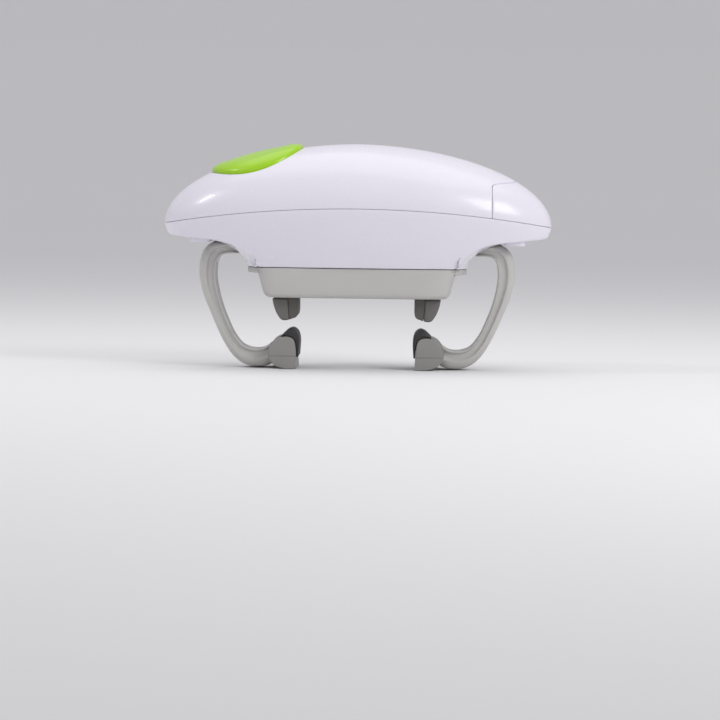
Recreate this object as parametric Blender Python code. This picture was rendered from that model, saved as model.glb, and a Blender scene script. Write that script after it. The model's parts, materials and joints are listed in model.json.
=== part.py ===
"""Battery jar opener: a boat-shaped housing, two sliding jar arms and a turning carriage with lid jaws.

All sizes are in millimetres and become metres when a mesh is made. X runs along the housing, Z is up,
and the carriage turns about the Z axis. The jar shoes stand on z = 0.
"""

import math

import bmesh
import bpy
from mathutils import Matrix, Vector

MM = 0.001
GAP = 0.3                    # between pieces that touch
THIN = ("upper_shell", "battery_cover", "carriage_tray")    # thin walls, which the exact solver loses

# Housing
LENGTH = 235.0
WIDTH = 89.0
CREST_Z = 136.0              # highest point of the upper shell
TIP_Z = 86.9                 # parting line at the housing's ends
PARTING_CROWN = 10.2         # how much higher the parting line is in the middle
PLAN_POWER = 2.25            # superellipse of the plan outline
CREST_POWER = 1.87           # superellipse of the crest line
NECK_Z = 61.5                # underside of the neck
LEAN = 13.5                  # how far the lower shell leans in down to the neck
WALL = 2.4
STATIONS = 28                # sections along the housing
ARC_STEPS = 14               # steps over a section's half ellipse
LOWER_RINGS = (0.0, 0.15, 0.35, 0.6, 0.8, 1.0)

# Underside: how far out and how high, from the neck's end to the housing's end
CARRIAGE_R = 66.5            # sweep of the turning carriage
ARCH = ((0.0, 61.4), (0.02, 64.8), (0.08, 68.2), (0.175, 71.8), (0.31, 75.3),
        (0.48, 77.4), (0.71, 78.6), (0.875, 79.6), (0.95, 80.0), (1.01, 80.6))

# Battery cover
COVER_LENGTH = 36.7          # from the seam's foot to the tip
COVER_NOSE = 14.5            # how much further out the seam is at the crest
SEAM_HALF = 26.0             # half width of the seam's curved part

# Button, in a frame tilted about Y
BUTTON_SHARE = 0.525         # its centre, as a share of the way to the -X tip
BUTTON_SUNK = 1.24           # its frame's origin under the crest
BUTTON_TILT = math.radians(16.5)
BUTTON_LONG = 28.75
BUTTON_WIDE = 26.25
BUTTON_PROUD = 3.2
BUTTON_EDGE = 0.5
BUTTON_SKIRT = 5.0
BUTTON_WALL = 2.0
BUTTON_POST_R = 4.0
BUTTON_POST_END = -12.0
BUTTON_CLEAR = 0.5
BUTTON_CEILING = -1.6        # underside of the cap
BRACKET_TOP = -15.8
BRACKET_THICK = 1.6

# Arms
ARM_OUT = CARRIAGE_R + 29.5  # outer face of the arms
ARM_WIDTH = 22.0
ARM_BAR_Z = (69.0, 77.0)
ARM_BAR_END = ARM_OUT - 41.0
SLOT_CLEAR = 0.6

# Jar shoes and pads
SHOE_IN = ARM_OUT - 60.4     # inner face of the shoes
SHOE_DEPTH = 17.6
SHOE_WIDTH = 40.0
SHOE_TOP = 19.4
PAD_IN = SHOE_IN - 1.3
PAD_LOW = 7.0
PAD_WIDTH = 37.0
PAD_TOP = 23.8
SHOE_SCREW_Z = 9.6
SHOE_HEAD_R = 2.4
SHOE_SCREW_REACH = 16.8      # from the screw's seat into the arm's foot

# Turning carriage
PLATE_Z = (57.8, 61.1)
PLATE_HALF = 22.0
TRAY_LONG = CARRIAGE_R - 5.0
TRAY_WIDE = 29.5
TRAY_TOP = 61.1
TRAY_BOTTOM = 43.0
TRAY_WALL = 2.0
TRAY_POWER = 8.0
SPINDLE_R = 5.0
BUSH_R = SPINDLE_R + 2.8
OUTPUT_Z = (NECK_Z + WALL + 0.9, NECK_Z + WALL + 4.5)

# Lid jaws
JAW_OUT = TRAY_LONG - 10.5
JAW_RIDGE = JAW_OUT - 9.5
JAW_IN = JAW_OUT - 16.0
JAW_Z = (29.2, 42.6)
JAW_WIDTH = 34.0
JAW_CLOSE = 15.0
JAW_OPEN = 5.0
STEM_X = (JAW_RIDGE - 3.5, JAW_RIDGE + 6.5)
STEM_Y = (4.6, 10.4)

# Gears; tooth sizes are in modules
MODULE = 1.0
TOOTH_ROOT = 1.1             # depth under the pitch line
TOOTH_TIP = 0.8              # height over it
ROOT_HALF = 0.93             # half thickness at the root
TIP_HALF = 0.26              # half thickness at the tip
RACK_TEETH = 12              # teeth of both rack pinions
OUTPUT_TEETH = 34
SMALL_TEETH = 10
DRIVE_TEETH = 21
MOTOR_TEETH = 9
RACK_HEIGHT = 5.6
RACK_REACH = 14.0            # how far a rack reaches past the middle
AXLE_R = 1.5                 # pins of the pinions and the idler
DRIVE_ROD_R = 2.5
MOTOR_SHAFT_R = 1.0
ARM_RACK_Z = 70.2
LID_RACK_Z = 48.0
IDLER_BEARING = math.radians(215.0)
MOTOR_BEARING = math.radians(260.0)
LOWER_GEAR_Z = (83.3, 86.7)
UPPER_GEAR_Z = (87.4, 90.6)

# Gearbox and motor
BASE_Z = (80.0, 82.0)
LID_Z = (91.6, 93.2)
BOX_HALF = (31.0, 27.0)
PILLAR_R = 3.0
MOTOR_R = 12.0
MOTOR_NOSE_R = 3.0
MOTOR_LENGTH = 25.0

# Batteries (AA)
CELL_R = 7.25
CELL_LENGTH = 49.0
CELL_Y = CELL_R + 0.75
TRAY_FLOOR_Z = 91.2

# Screws
BOSS_R = 3.6
BOSS_IN = 22.5               # from the tip to the boss centres
BOSS_Y = ARM_WIDTH / 2 + SLOT_CLEAR + BOSS_R + 0.4
BOSS_Z = 75.7
HEAD_DEPTH = 2.6             # how far a screw head sits in its boss
HEAD_R = 2.8
SHANK_R = 1.3

HALF_L = LENGTH / 2
HALF_W = WIDTH / 2
BOSS_X = HALF_L - BOSS_IN
NECK_R = CARRIAGE_R + 0.1
SEAM_X = HALF_L - COVER_LENGTH
DRIVE_Y = MODULE * (OUTPUT_TEETH + SMALL_TEETH) / 2
MESH_DISTANCE = MODULE * (DRIVE_TEETH + MOTOR_TEETH) / 2
DRIVE_AT = Vector((0.0, DRIVE_Y))
IDLER_AT = DRIVE_AT + MESH_DISTANCE * Vector((math.cos(IDLER_BEARING), math.sin(IDLER_BEARING)))
MOTOR_AT = IDLER_AT + MESH_DISTANCE * Vector((math.cos(MOTOR_BEARING), math.sin(MOTOR_BEARING)))
CELL_END = SEAM_X + 12.2
CELL_Z = TRAY_FLOOR_Z + 1.6 + GAP + CELL_R
BOARD_Z = LID_Z[1] + 4.0
SLOT_X = (ARM_BAR_END - 2.4, ARM_OUT - 1.4)
SLOT_Y = ARM_WIDTH / 2 + SLOT_CLEAR
SLOT_Z = (ARM_BAR_Z[0] - 3.4, ARM_BAR_Z[1] + 2.4)


# ---- Objects, materials and booleans


def material(name, color, roughness, metallic=0.0):
    made = bpy.data.materials.get(name)
    if made is None:
        made = bpy.data.materials.new(name)
        made.use_nodes = True
        shader = made.node_tree.nodes["Principled BSDF"]
        shader.inputs["Base Color"].default_value = (*color, 1.0)
        shader.inputs["Roughness"].default_value = roughness
        shader.inputs["Metallic"].default_value = metallic
    return made


def white():
    return material("white_abs", (0.78, 0.77, 0.84), 0.3)


def arm_grey():
    return material("grey_abs", (0.48, 0.48, 0.46), 0.4)


def shoe_grey():
    return material("shoe_grey_abs", (0.25, 0.25, 0.24), 0.5)


def jaw_grey():
    return material("dark_grey_abs", (0.13, 0.125, 0.115), 0.5)


def rubber():
    return material("black_rubber", (0.045, 0.042, 0.042), 0.8)


def steel():
    return material("zinc_steel", (0.6, 0.6, 0.6), 0.3, 1.0)


def acetal():
    return material("natural_acetal", (0.7, 0.68, 0.6), 0.45)


def make(name, bm, surface=None, origin=(0.0, 0.0, 0.0), frame=None):
    """Turns a bmesh in millimetres into an object whose origin is at origin, also in millimetres."""
    bmesh.ops.remove_doubles(bm, verts=bm.verts, dist=1e-4)
    bmesh.ops.dissolve_degenerate(bm, edges=bm.edges, dist=1e-5)
    bmesh.ops.recalc_face_normals(bm, faces=bm.faces)
    if bm.calc_volume(signed=True) < 0.0:
        bmesh.ops.reverse_faces(bm, faces=bm.faces)
    if frame is not None:
        bmesh.ops.transform(bm, matrix=frame, verts=bm.verts)
    bmesh.ops.translate(bm, vec=-Vector(origin), verts=bm.verts)
    bmesh.ops.scale(bm, vec=(MM, MM, MM), verts=bm.verts)
    mesh = bpy.data.meshes.new(name)
    bm.to_mesh(mesh)
    bm.free()
    mesh.shade_smooth()
    mesh.set_sharp_from_angle(angle=math.radians(35.0))
    obj = bpy.data.objects.new(name, mesh)
    obj.location = Vector(origin) * MM
    bpy.context.scene.collection.objects.link(obj)
    if surface is not None:
        mesh.materials.append(surface)
    return obj


def boolean(obj, other, operation):
    """Cuts, joins or intersects obj with a hidden helper object."""
    other.hide_render = True
    other.display_type = "WIRE"
    modifier = obj.modifiers.new(other.name, "BOOLEAN")
    modifier.operation = operation
    modifier.solver = "MANIFOLD" if obj.name in THIN else "EXACT"
    modifier.object = other


def gathered(shapes):
    """Several closed shapes that don't touch, as one bmesh."""
    whole = bmesh.new()
    for shape in shapes:
        mesh = bpy.data.meshes.new("shape")
        shape.to_mesh(mesh)
        shape.free()
        whole.from_mesh(mesh)
        bpy.data.meshes.remove(mesh)
    return whole


def cut(obj, shapes, label, frame=None):
    boolean(obj, make(obj.name + "_cut_" + label, gathered(shapes), frame=frame), "DIFFERENCE")


def join(obj, shapes, label, frame=None):
    boolean(obj, make(obj.name + "_add_" + label, gathered(shapes), frame=frame), "UNION")


# ---- Plain shapes


def prism(outline, low, high, axis="Z"):
    """Extrudes a closed outline. Along Z the outline is (x, y); along Y it is (x, z)."""
    bm = bmesh.new()
    if axis == "Z":
        verts = [bm.verts.new((x, y, low)) for x, y in outline]
        step = Vector((0.0, 0.0, high - low))
    else:
        verts = [bm.verts.new((x, low, z)) for x, z in outline]
        step = Vector((0.0, high - low, 0.0))
    face = bm.faces.new(verts)
    moved = bmesh.ops.extrude_face_region(bm, geom=[face], use_keep_orig=True)["geom"]
    bmesh.ops.translate(bm, vec=step, verts=[v for v in moved if isinstance(v, bmesh.types.BMVert)])
    return bm


def block(low, high):
    corners = ((low[0], low[1]), (high[0], low[1]), (high[0], high[1]), (low[0], high[1]))
    return prism(corners, low[2], high[2])


def turned(profile, at=(0.0, 0.0), steps=24):
    """Spins an (r, z) profile about a vertical axis. A profile that stays off the axis is closed."""
    bm = bmesh.new()
    verts = [bm.verts.new((r, 0.0, z)) for r, z in profile]
    edges = [bm.edges.new(pair) for pair in zip(verts, verts[1:])]
    if profile[0][0] > 0.0:
        edges.append(bm.edges.new((verts[-1], verts[0])))
    bmesh.ops.spin(bm, geom=verts + edges, cent=(0, 0, 0), axis=(0, 0, 1), angle=math.tau,
                   steps=steps, use_merge=True)
    bmesh.ops.remove_doubles(bm, verts=bm.verts, dist=1e-4)
    bmesh.ops.translate(bm, vec=(at[0], at[1], 0.0), verts=bm.verts)
    return bm


def rod(radius, low, high, at=(0.0, 0.0), steps=20):
    return turned(((0.0, low), (radius, low), (radius, high), (0.0, high)), at, steps)


def ring(inner, outer, low, high, at=(0.0, 0.0), steps=28):
    return turned(((inner, low), (outer, low), (outer, high), (inner, high)), at, steps)


def loft(rings, capped=True):
    """Skins closed rings of equal length, in order, and caps the first and the last."""
    bm = bmesh.new()
    rows = [[bm.verts.new(point) for point in points] for points in rings]
    count = len(rows[0])
    for row, following in zip(rows, rows[1:]):
        for i in range(count):
            k = (i + 1) % count
            bm.faces.new((row[i], row[k], following[k], following[i]))
    if capped:
        bm.faces.new(rows[0])
        bm.faces.new(rows[-1])
    return bm


def smooth_through(points, steps=4):
    """Points on a smooth curve through the given ones."""
    out = []
    last = len(points) - 1
    for i in range(last):
        p0, p1 = Vector(points[max(i - 1, 0)]), Vector(points[i])
        p2, p3 = Vector(points[i + 1]), Vector(points[min(i + 2, last)])
        for j in range(steps):
            t = j / steps
            out.append(0.5 * (2 * p1 + (p2 - p0) * t + (2 * p0 - 5 * p1 + 4 * p2 - p3) * t * t
                              + (3 * p1 - p0 - 3 * p2 + p3) * t ** 3))
    out.append(Vector(points[last]))
    return out


def offset_outline(points, distance):
    """Moves an open outline sideways, to the left of its direction."""
    out = []
    for i, point in enumerate(points):
        along = Vector(points[min(i + 1, len(points) - 1)]) - Vector(points[max(i - 1, 0)])
        normal = Vector((-along.y, along.x)).normalized()
        out.append(Vector(point) + distance * normal)
    return out


def mirrored(points, side):
    """The same outline on the right (side 1) or the left (side -1)."""
    return [(side * x, y) for x, y in points]


# ---- Housing surfaces


def half_width(x, inset=0.0):
    u = min(abs(x) / (HALF_L - inset), 1.0)
    return (HALF_W - inset) * (1.0 - u ** PLAN_POWER) ** (1.0 / PLAN_POWER)


def parting_z(x):
    return TIP_Z + PARTING_CROWN * (1.0 - min(abs(x) / HALF_L, 1.0) ** 2)


def crest_z(x, inset=0.0):
    u = min(abs(x) / (HALF_L - inset), 1.0)
    rise = CREST_Z - TIP_Z - inset
    return TIP_Z + rise * math.sqrt(1.0 - u ** CREST_POWER)


def dome_z(x, y, inset=0.0):
    """Height of the upper shell's surface over a point of the plan."""
    wide = max(half_width(x, inset), 1e-6)
    low = parting_z(x)
    return low + max(crest_z(x, inset) - low, 0.0) * math.sqrt(max(1.0 - (y / wide) ** 2, 0.0))


def stations(inset):
    """Sections along X, closer together at the ends."""
    return [-(HALF_L - inset) * math.cos(math.pi * i / STATIONS) for i in range(STATIONS + 1)]


def dome_rows(inset, lift):
    """Half-ellipse sections of the upper shell, from the -Y edge over the crest to the +Y edge."""
    rows = []
    for x in stations(inset):
        wide, low = half_width(x, inset), parting_z(x)
        high = max(crest_z(x, inset) - low, 0.0)
        row = []
        for j in range(ARC_STEPS + 1):
            angle = math.pi * j / ARC_STEPS
            row.append((x, -wide * math.cos(angle), low + lift + (high - lift) * math.sin(angle)))
        rows.append(row)
    return rows


def grid_faces(bm, rows):
    made = [[bm.verts.new(point) for point in row] for row in rows]
    for row, following in zip(made, made[1:]):
        for j in range(len(row) - 1):
            bm.faces.new((row[j], row[j + 1], following[j + 1], following[j]))
    return made


def dome_body(inset, drop=0.0):
    """The dome as a closed form, ending on the parting line or, as a cutter, lower by drop."""
    rows = dome_rows(inset, GAP / 2)
    if drop:
        rows = [[(x, row[0][1], row[0][2] - drop), *row, (x, row[-1][1], row[-1][2] - drop)]
                for row in rows for x in (row[0][0],)]
    bm = bmesh.new()
    made = grid_faces(bm, rows)
    for row, following in zip(made, made[1:]):
        bm.faces.new((row[0], following[0], following[-1], row[-1]))
    return bm


def dome_shell(name):
    shell = make(name, dome_body(0.0), white())
    cut(shell, [dome_body(WALL, 6.0)], "hollow")
    return shell


def lower_ring(inset, share, floor):
    """One level of the lower body: share 0 is the parting line and share 1 the neck's underside."""
    lean = LEAN * share ** 1.25
    right, left = [], []
    for x in stations(inset):
        wide = half_width(x, inset)
        z = (parting_z(x) - GAP / 2) * (1.0 - share) + floor * share
        narrow = max(wide - lean * wide / HALF_W, 0.0)
        along = x * (1.0 - lean / HALF_L)
        right.append((along, -narrow, z))
        left.append((along, narrow, z))
    return right + left[-2:0:-1]


def lower_body(inset, floor, raise_by=0.0):
    """The closed form of the lower shell. Raised, its top clears the parting line for a cutter."""
    rings = [lower_ring(inset, share, floor) for share in LOWER_RINGS]
    rings[0] = [(x, y, z + raise_by) for x, y, z in rings[0]]
    bm = bmesh.new()
    rows = [[bm.verts.new(point) for point in points] for points in rings]
    count = len(rows[0])
    for row, following in zip(rows, rows[1:]):
        for i in range(count):
            k = (i + 1) % count
            bm.faces.new((row[i], row[k], following[k], following[i]))
    for row in (rows[0], rows[-1]):
        for i in range(STATIONS):
            here, there = -i % count, -(i + 1) % count
            corners = dict.fromkeys((row[i], row[i + 1], row[there], row[here]))
            bm.faces.new(list(corners))
    return bm


def arch_cutter(wall):
    """All that lies outside and under the arched underside, shrunk by the wall for the inside."""
    reach = HALF_L - NECK_R
    line = [Vector((NECK_R + reach * share, z)) for share, z in ARCH]
    line = offset_outline(line, wall) if wall else line
    far, bottom = HALF_L + 12.0, NECK_Z - 10.0
    profile = [(line[0].x, bottom), *[(p.x, p.y) for p in line], (far, line[-1].y), (far, bottom)]
    return turned(profile, steps=48)


def seam_line(shift):
    """The battery cover's seam in plan: straight up the sides and bowed out over the crest."""
    points = []
    steps = 14
    for i in range(-steps, steps + 1):
        y = SEAM_HALF * i / steps
        share = max(1.0 - abs(y / SEAM_HALF) ** 2.8, 0.0)
        points.append((SEAM_X + shift + COVER_NOSE * share ** 1.4, y))
    return [(points[0][0], -HALF_W - 5.0), *points, (points[-1][0], HALF_W + 5.0)]


def cover_region(shift):
    """Everything beyond the seam."""
    far = HALF_L + 10.0
    outline = [*seam_line(shift), (far, HALF_W + 5.0), (far, -HALF_W - 5.0)]
    return prism(outline, TIP_Z - 5.0, CREST_Z + 5.0)


def button_frame():
    """Local x along the button's long axis, z along its outward normal."""
    x = -BUTTON_SHARE * HALF_L
    centre = (x, 0.0, crest_z(x) - BUTTON_SUNK)
    return Matrix.Translation(centre) @ Matrix.Rotation(-BUTTON_TILT, 4, "Y")


def button_height(p, q):
    """Height along the button's normal where the line through (p, q) meets the dome."""
    frame = button_frame()
    h = 0.0
    for _ in range(24):
        point = frame @ Vector((p, q, h))
        h -= 0.8 * (point.z - dome_z(point.x, point.y))
    return h


def button_ring(share, rise, steps=36):
    ring_points = []
    for i in range(steps):
        angle = math.tau * i / steps
        p, q = BUTTON_LONG * share * math.cos(angle), BUTTON_WIDE * share * math.sin(angle)
        ring_points.append((p, q, button_height(p, q) + rise))
    return ring_points


# ---- Housing pieces


def sides():
    return ((-1, "left"), (1, "right"))


def boss_spots():
    return [(x, y) for x in (-BOSS_X, BOSS_X) for y in (-BOSS_Y, BOSS_Y)]


def upper_shell():
    shell = dome_shell("upper_shell")
    cut(shell, [cover_region(-GAP / 2)], "seam")
    hole = bmesh.new()
    bmesh.ops.create_cone(hole, cap_ends=True, segments=48, radius1=1.0, radius2=1.0, depth=40.0)
    size = (BUTTON_LONG + BUTTON_CLEAR, BUTTON_WIDE + BUTTON_CLEAR, 1.0)
    bmesh.ops.scale(hole, vec=size, verts=hole.verts)
    posts = []
    for x, y in boss_spots()[:2]:
        top = dome_z(x, abs(y) + BOSS_R, WALL) + WALL / 2
        posts.append(ring(SHANK_R + GAP, BOSS_R, TIP_Z, top, (x, y), 16))
    join(shell, posts, "posts")
    cut(shell, [hole], "button", button_frame())


def battery_cover():
    cover = dome_shell("battery_cover")
    boolean(cover, make("battery_cover_region", cover_region(GAP / 2)), "INTERSECT")


def lower_shell():
    shell = make("lower_shell", lower_body(0.0, NECK_Z), white())
    cut(shell, [arch_cutter(0.0)], "arch")
    hollow = make("lower_shell_hollow", lower_body(WALL, NECK_Z + WALL, raise_by=8.0))
    boolean(hollow, make("lower_shell_hollow_arch", arch_cutter(WALL)), "DIFFERENCE")
    boolean(shell, hollow, "DIFFERENCE")
    bosses = [rod(BOSS_R, BOSS_Z, TIP_Z - GAP, spot, 16) for spot in boss_spots()]
    pillars = [rod(PILLAR_R, NECK_Z + WALL / 2, BASE_Z[0] - GAP, spot, 12) for spot in pillar_spots()]
    join(shell, bosses + pillars, "posts")
    bore = ((0.0, BOSS_Z - 1.0), (HEAD_R + GAP, BOSS_Z - 1.0), (HEAD_R + GAP, BOSS_Z + HEAD_DEPTH),
            (SHANK_R + GAP, BOSS_Z + HEAD_DEPTH), (SHANK_R + GAP, TIP_Z + 1.0), (0.0, TIP_Z + 1.0))
    bores = [turned(bore, spot, 16) for spot in boss_spots()]
    bores += [rod(SHANK_R + GAP, BASE_Z[0] - 9.0, BASE_Z[0] + 1.0, spot, 12)
              for spot in gearbox_screw_spots()]
    bush = rod(BUSH_R + GAP, NECK_Z - 1.0, NECK_Z + WALL + 1.0)
    cut(shell, [*bores, bush, *[arm_slot(side) for side, _ in sides()]], "bores")


def mirrored_block(side, low, high):
    """A block whose X range is given for the right side."""
    reach = sorted((side * low[0], side * high[0]))
    across = sorted((side * low[1], side * high[1]))
    return block((reach[0], across[0], low[2]), (reach[1], across[1], high[2]))


def arm_slot(side):
    return mirrored_block(side, (SLOT_X[0], -SLOT_Y, SLOT_Z[0]), (SLOT_X[1], SLOT_Y, SLOT_Z[1]))


def gearbox_screw_spots():
    return (pillar_spots()[0], pillar_spots()[3])


def pillar_spots():
    return [(x, y) for x in (-26.0, 26.0) for y in (-21.5, 21.5)]


def shell_screws():
    for i, (x, y) in enumerate(boss_spots()):
        seat = BOSS_Z + HEAD_DEPTH - GAP
        profile = ((0.0, seat - 1.8), (HEAD_R, seat - 1.8), (HEAD_R, seat), (SHANK_R, seat),
                   (SHANK_R, seat + 15.0), (0.0, seat + 16.0))
        make(f"shell_screw_{i + 1}", turned(profile, (x, y), 14), steel(), (x, y, seat))


def button():
    rings = [button_ring(share, rise) for share, rise in
             ((0.3, BUTTON_PROUD), (0.7, BUTTON_PROUD - 0.1), (0.88, BUTTON_PROUD - 0.5),
              (0.96, BUTTON_PROUD - 1.3), (1.0, BUTTON_EDGE), (1.0, -BUTTON_SKIRT))]
    inner = 1.0 - BUTTON_WALL / BUTTON_LONG
    rings += [button_ring(inner, -BUTTON_SKIRT), button_ring(inner, BUTTON_CEILING),
              button_ring(0.4, BUTTON_CEILING)]
    axis = button_frame()
    green = material("green_abs", (0.48, 0.78, 0.04), 0.3)
    cap = make("button_cap", loft(rings), green, axis.translation, axis)
    join(cap, [rod(BUTTON_POST_R, BUTTON_POST_END, 2.0, steps=16)], "post", axis)


def switch():
    axis = button_frame()
    half = 0.69 * HALF_W
    low = BRACKET_TOP - BRACKET_THICK
    plate = block((-12.0, -half, low), (12.0, half, BRACKET_TOP))
    bracket = make("switch_bracket", plate, acetal(), frame=axis)
    cut(bracket, [rod(2.6, low - 1.0, BRACKET_TOP + 1.0, steps=12)], "hole", axis)
    box = block((-6.0, -6.0, low - GAP - 6.0), (6.0, 6.0, low - GAP))
    body = make("switch_body", box, rubber(), frame=axis)
    cut(body, [rod(2.2, low - 5.2, low, steps=12)], "hole", axis)
    plunger = rod(1.8, low - 2.4, BUTTON_POST_END - GAP, steps=12)
    make("switch_plunger", plunger, acetal(), axis.translation, axis)
    coil = spring(5.4, 0.5, BRACKET_TOP + 0.9, -2.4, 4.5)
    make("button_spring", coil, steel(), axis.translation, axis)


def spring(radius, wire, low, high, turns, per_turn=10, sides_round=5):
    """A helix of round wire with capped ends."""
    steps = int(turns * per_turn)
    rings = []
    for i in range(steps + 1):
        angle = math.tau * turns * i / steps
        outward = Vector((math.cos(angle), math.sin(angle), 0.0))
        centre = radius * outward + Vector((0.0, 0.0, low + (high - low) * i / steps))
        rings.append([centre + wire * (outward * math.cos(math.tau * k / sides_round)
                                       + Vector((0, 0, 1)) * math.sin(math.tau * k / sides_round))
                      for k in range(sides_round)])
    return loft(rings)


def battery_bay():
    floor, start = TRAY_FLOOR_Z, CELL_END - CELL_LENGTH - 4.0
    half = CELL_Y + CELL_R + 1.4
    end = CELL_END + 5.0
    top = min(floor + 11.0, dome_z(end, half + 1.6, WALL) - 2.0 * GAP)    # under the dome's inside
    outside = block((start - 1.6, -half - 1.6, floor), (end, half + 1.6, top))
    bay = make("battery_tray", outside, acetal())
    cut(bay, [block((start, -half, floor + 1.6), (end + 5.0, half, floor + 20.0))], "bay")
    join(bay, [rod(BOSS_R, TIP_Z, floor + 0.8, spot, 16) for spot in boss_spots()[2:]], "posts")
    bores = [rod(SHANK_R + GAP, TIP_Z - 1.0, floor + 3.0, spot, 16) for spot in boss_spots()[2:]]
    cut(bay, bores, "bores")
    wrap = material("cell_wrap", (0.12, 0.13, 0.15), 0.35, 0.4)
    for i, y in enumerate((-CELL_Y, CELL_Y)):
        turn = Matrix.Translation((0.0, y, CELL_Z)) @ Matrix.Rotation(math.pi / 2, 4, "Y")
        profile = ((0.0, CELL_END - CELL_LENGTH), (CELL_R, CELL_END - CELL_LENGTH), (CELL_R, CELL_END - 1.2),
                   (2.7, CELL_END - 1.2), (2.7, CELL_END), (0.0, CELL_END))
        make(f"battery_{i + 1}", turned(profile, steps=20), wrap, (CELL_END, y, CELL_Z), turn)
        contact = spring(3.0, 0.4, start + 0.8, CELL_END - CELL_LENGTH - 0.8, 2.5)
        make(f"battery_contact_{i + 1}", contact, steel(), frame=turn)
    bridge = block((CELL_END + GAP, -CELL_Y - 4.0, CELL_Z - 4.0),
                   (CELL_END + GAP + 0.8, CELL_Y + 4.0, CELL_Z + 4.0))
    make("contact_bridge", bridge, steel())


def gearbox():
    (half_x, half_y), drive = BOX_HALF, tuple(DRIVE_AT)
    reach = DRIVE_Y + 6.5
    floor = block((-half_x, -half_y, BASE_Z[0]), (half_x, reach, BASE_Z[1]))
    roof = block((-half_x, -half_y, LID_Z[0]), (half_x, reach, LID_Z[1]))
    base, lid = make("gearbox_base", floor, acetal()), make("gearbox_lid", roof, acetal())
    spacers = ((-12.0, -24.0), (12.0, -24.0), (28.0, 6.0), (-28.0, 6.0))
    join(base, [rod(2.2, BASE_Z[1] - 1.0, LID_Z[0] - GAP, spot, 12) for spot in spacers], "posts")
    stands = ((15.0, -20.0), (15.0, 6.0))
    join(lid, [rod(2.0, LID_Z[1] - 1.0, BOARD_Z - GAP, spot, 12) for spot in stands], "posts")
    holes = [(DRIVE_ROD_R, drive), (AXLE_R, tuple(IDLER_AT))]
    base_holes = [*holes, (AXLE_R, (0.0, 0.0)), *[(SHANK_R, spot) for spot in gearbox_screw_spots()]]
    lid_holes = [*holes, (MOTOR_NOSE_R, tuple(MOTOR_AT))]
    for plate, (low, high), wanted in ((base, BASE_Z, base_holes), (lid, LID_Z, lid_holes)):
        bores = [rod(radius + GAP, low - 1.0, high + 1.0, spot, 16) for radius, spot in wanted]
        cut(plate, bores, "holes")
    for i, (x, y) in enumerate(gearbox_screw_spots()):
        profile = ((0.0, BASE_Z[0] - 7.0), (SHANK_R, BASE_Z[0] - 6.0), (SHANK_R, BASE_Z[1] + GAP),
                   (HEAD_R, BASE_Z[1] + GAP), (HEAD_R, BASE_Z[1] + 2.0), (0.0, BASE_Z[1] + 2.0))
        make(f"gearbox_screw_{i + 1}", turned(profile, (x, y), 14), steel(), (x, y, BASE_Z[1]))
    make("circuit_board", block((11.0, -24.0, BOARD_Z), (36.0, 10.0, BOARD_Z + 1.6)),
         material("green_board", (0.02, 0.14, 0.06), 0.5))
    make("idler_axle", rod(AXLE_R, BASE_Z[0] + 0.1, LID_Z[1] - 0.1, tuple(IDLER_AT), 12), steel())


def motor():
    low = LID_Z[1] + GAP
    bore, nose_low = MOTOR_SHAFT_R + GAP, LID_Z[0] + 0.2
    profile = ((0.0, low + 7.0), (bore, low + 7.0), (bore, nose_low), (MOTOR_NOSE_R, nose_low),
               (MOTOR_NOSE_R, low), (MOTOR_R, low), (MOTOR_R, low + MOTOR_LENGTH), (0.0, low + MOTOR_LENGTH))
    make("motor_can", turned(profile, tuple(MOTOR_AT), 28), steel())
    top = low + MOTOR_LENGTH + GAP
    make("motor_end_cap", rod(MOTOR_R - 1.0, top, top + 2.6, tuple(MOTOR_AT), 24), rubber())


# ---- Gears


def gear_outline(teeth, phase):
    """Straight-sided teeth, thinned so that a pair runs with play. One tooth points along phase."""
    pitch_r = MODULE * teeth / 2
    root_r, tip_r = pitch_r - TOOTH_ROOT * MODULE, pitch_r + TOOTH_TIP * MODULE
    points = []
    for i in range(teeth):
        middle = phase + math.tau * i / teeth
        corners = ((root_r, ROOT_HALF), (tip_r, TIP_HALF), (tip_r, -TIP_HALF), (root_r, -ROOT_HALF))
        for radius, half in corners:
            angle = middle - half * MODULE / pitch_r
            points.append((radius * math.cos(angle), radius * math.sin(angle)))
    return points


def gear(teeth, low, high, phase, at=(0.0, 0.0)):
    bm = prism(gear_outline(teeth, phase), low, high)
    bmesh.ops.translate(bm, vec=(at[0], at[1], 0.0), verts=bm.verts)
    return bm


def rack_outline(start, end, pitch_y, back):
    """A rack whose teeth point at the X axis, with a gap at x = 0. back is its plain edge's y."""
    toward = -math.copysign(1.0, pitch_y)
    pitch = math.pi * MODULE
    root, tip = pitch_y - toward * TOOTH_ROOT * MODULE, pitch_y + toward * TOOTH_TIP * MODULE
    wide, narrow = ROOT_HALF * MODULE, TIP_HALF * MODULE
    points = [(start, back), (start, root)]
    first, last = math.ceil(start / pitch), math.floor(end / pitch)
    for i in range(first, last):
        middle = (i + 0.5) * pitch
        if middle - wide > start and middle + wide < end:
            points += [(middle - wide, root), (middle - narrow, tip), (middle + narrow, tip),
                       (middle + wide, root)]
    return [*points, (end, root), (end, back)]


def tooth_toward(here, there):
    """Direction from one shaft to another."""
    return math.atan2(there[1] - here[1], there[0] - here[0])


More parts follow.
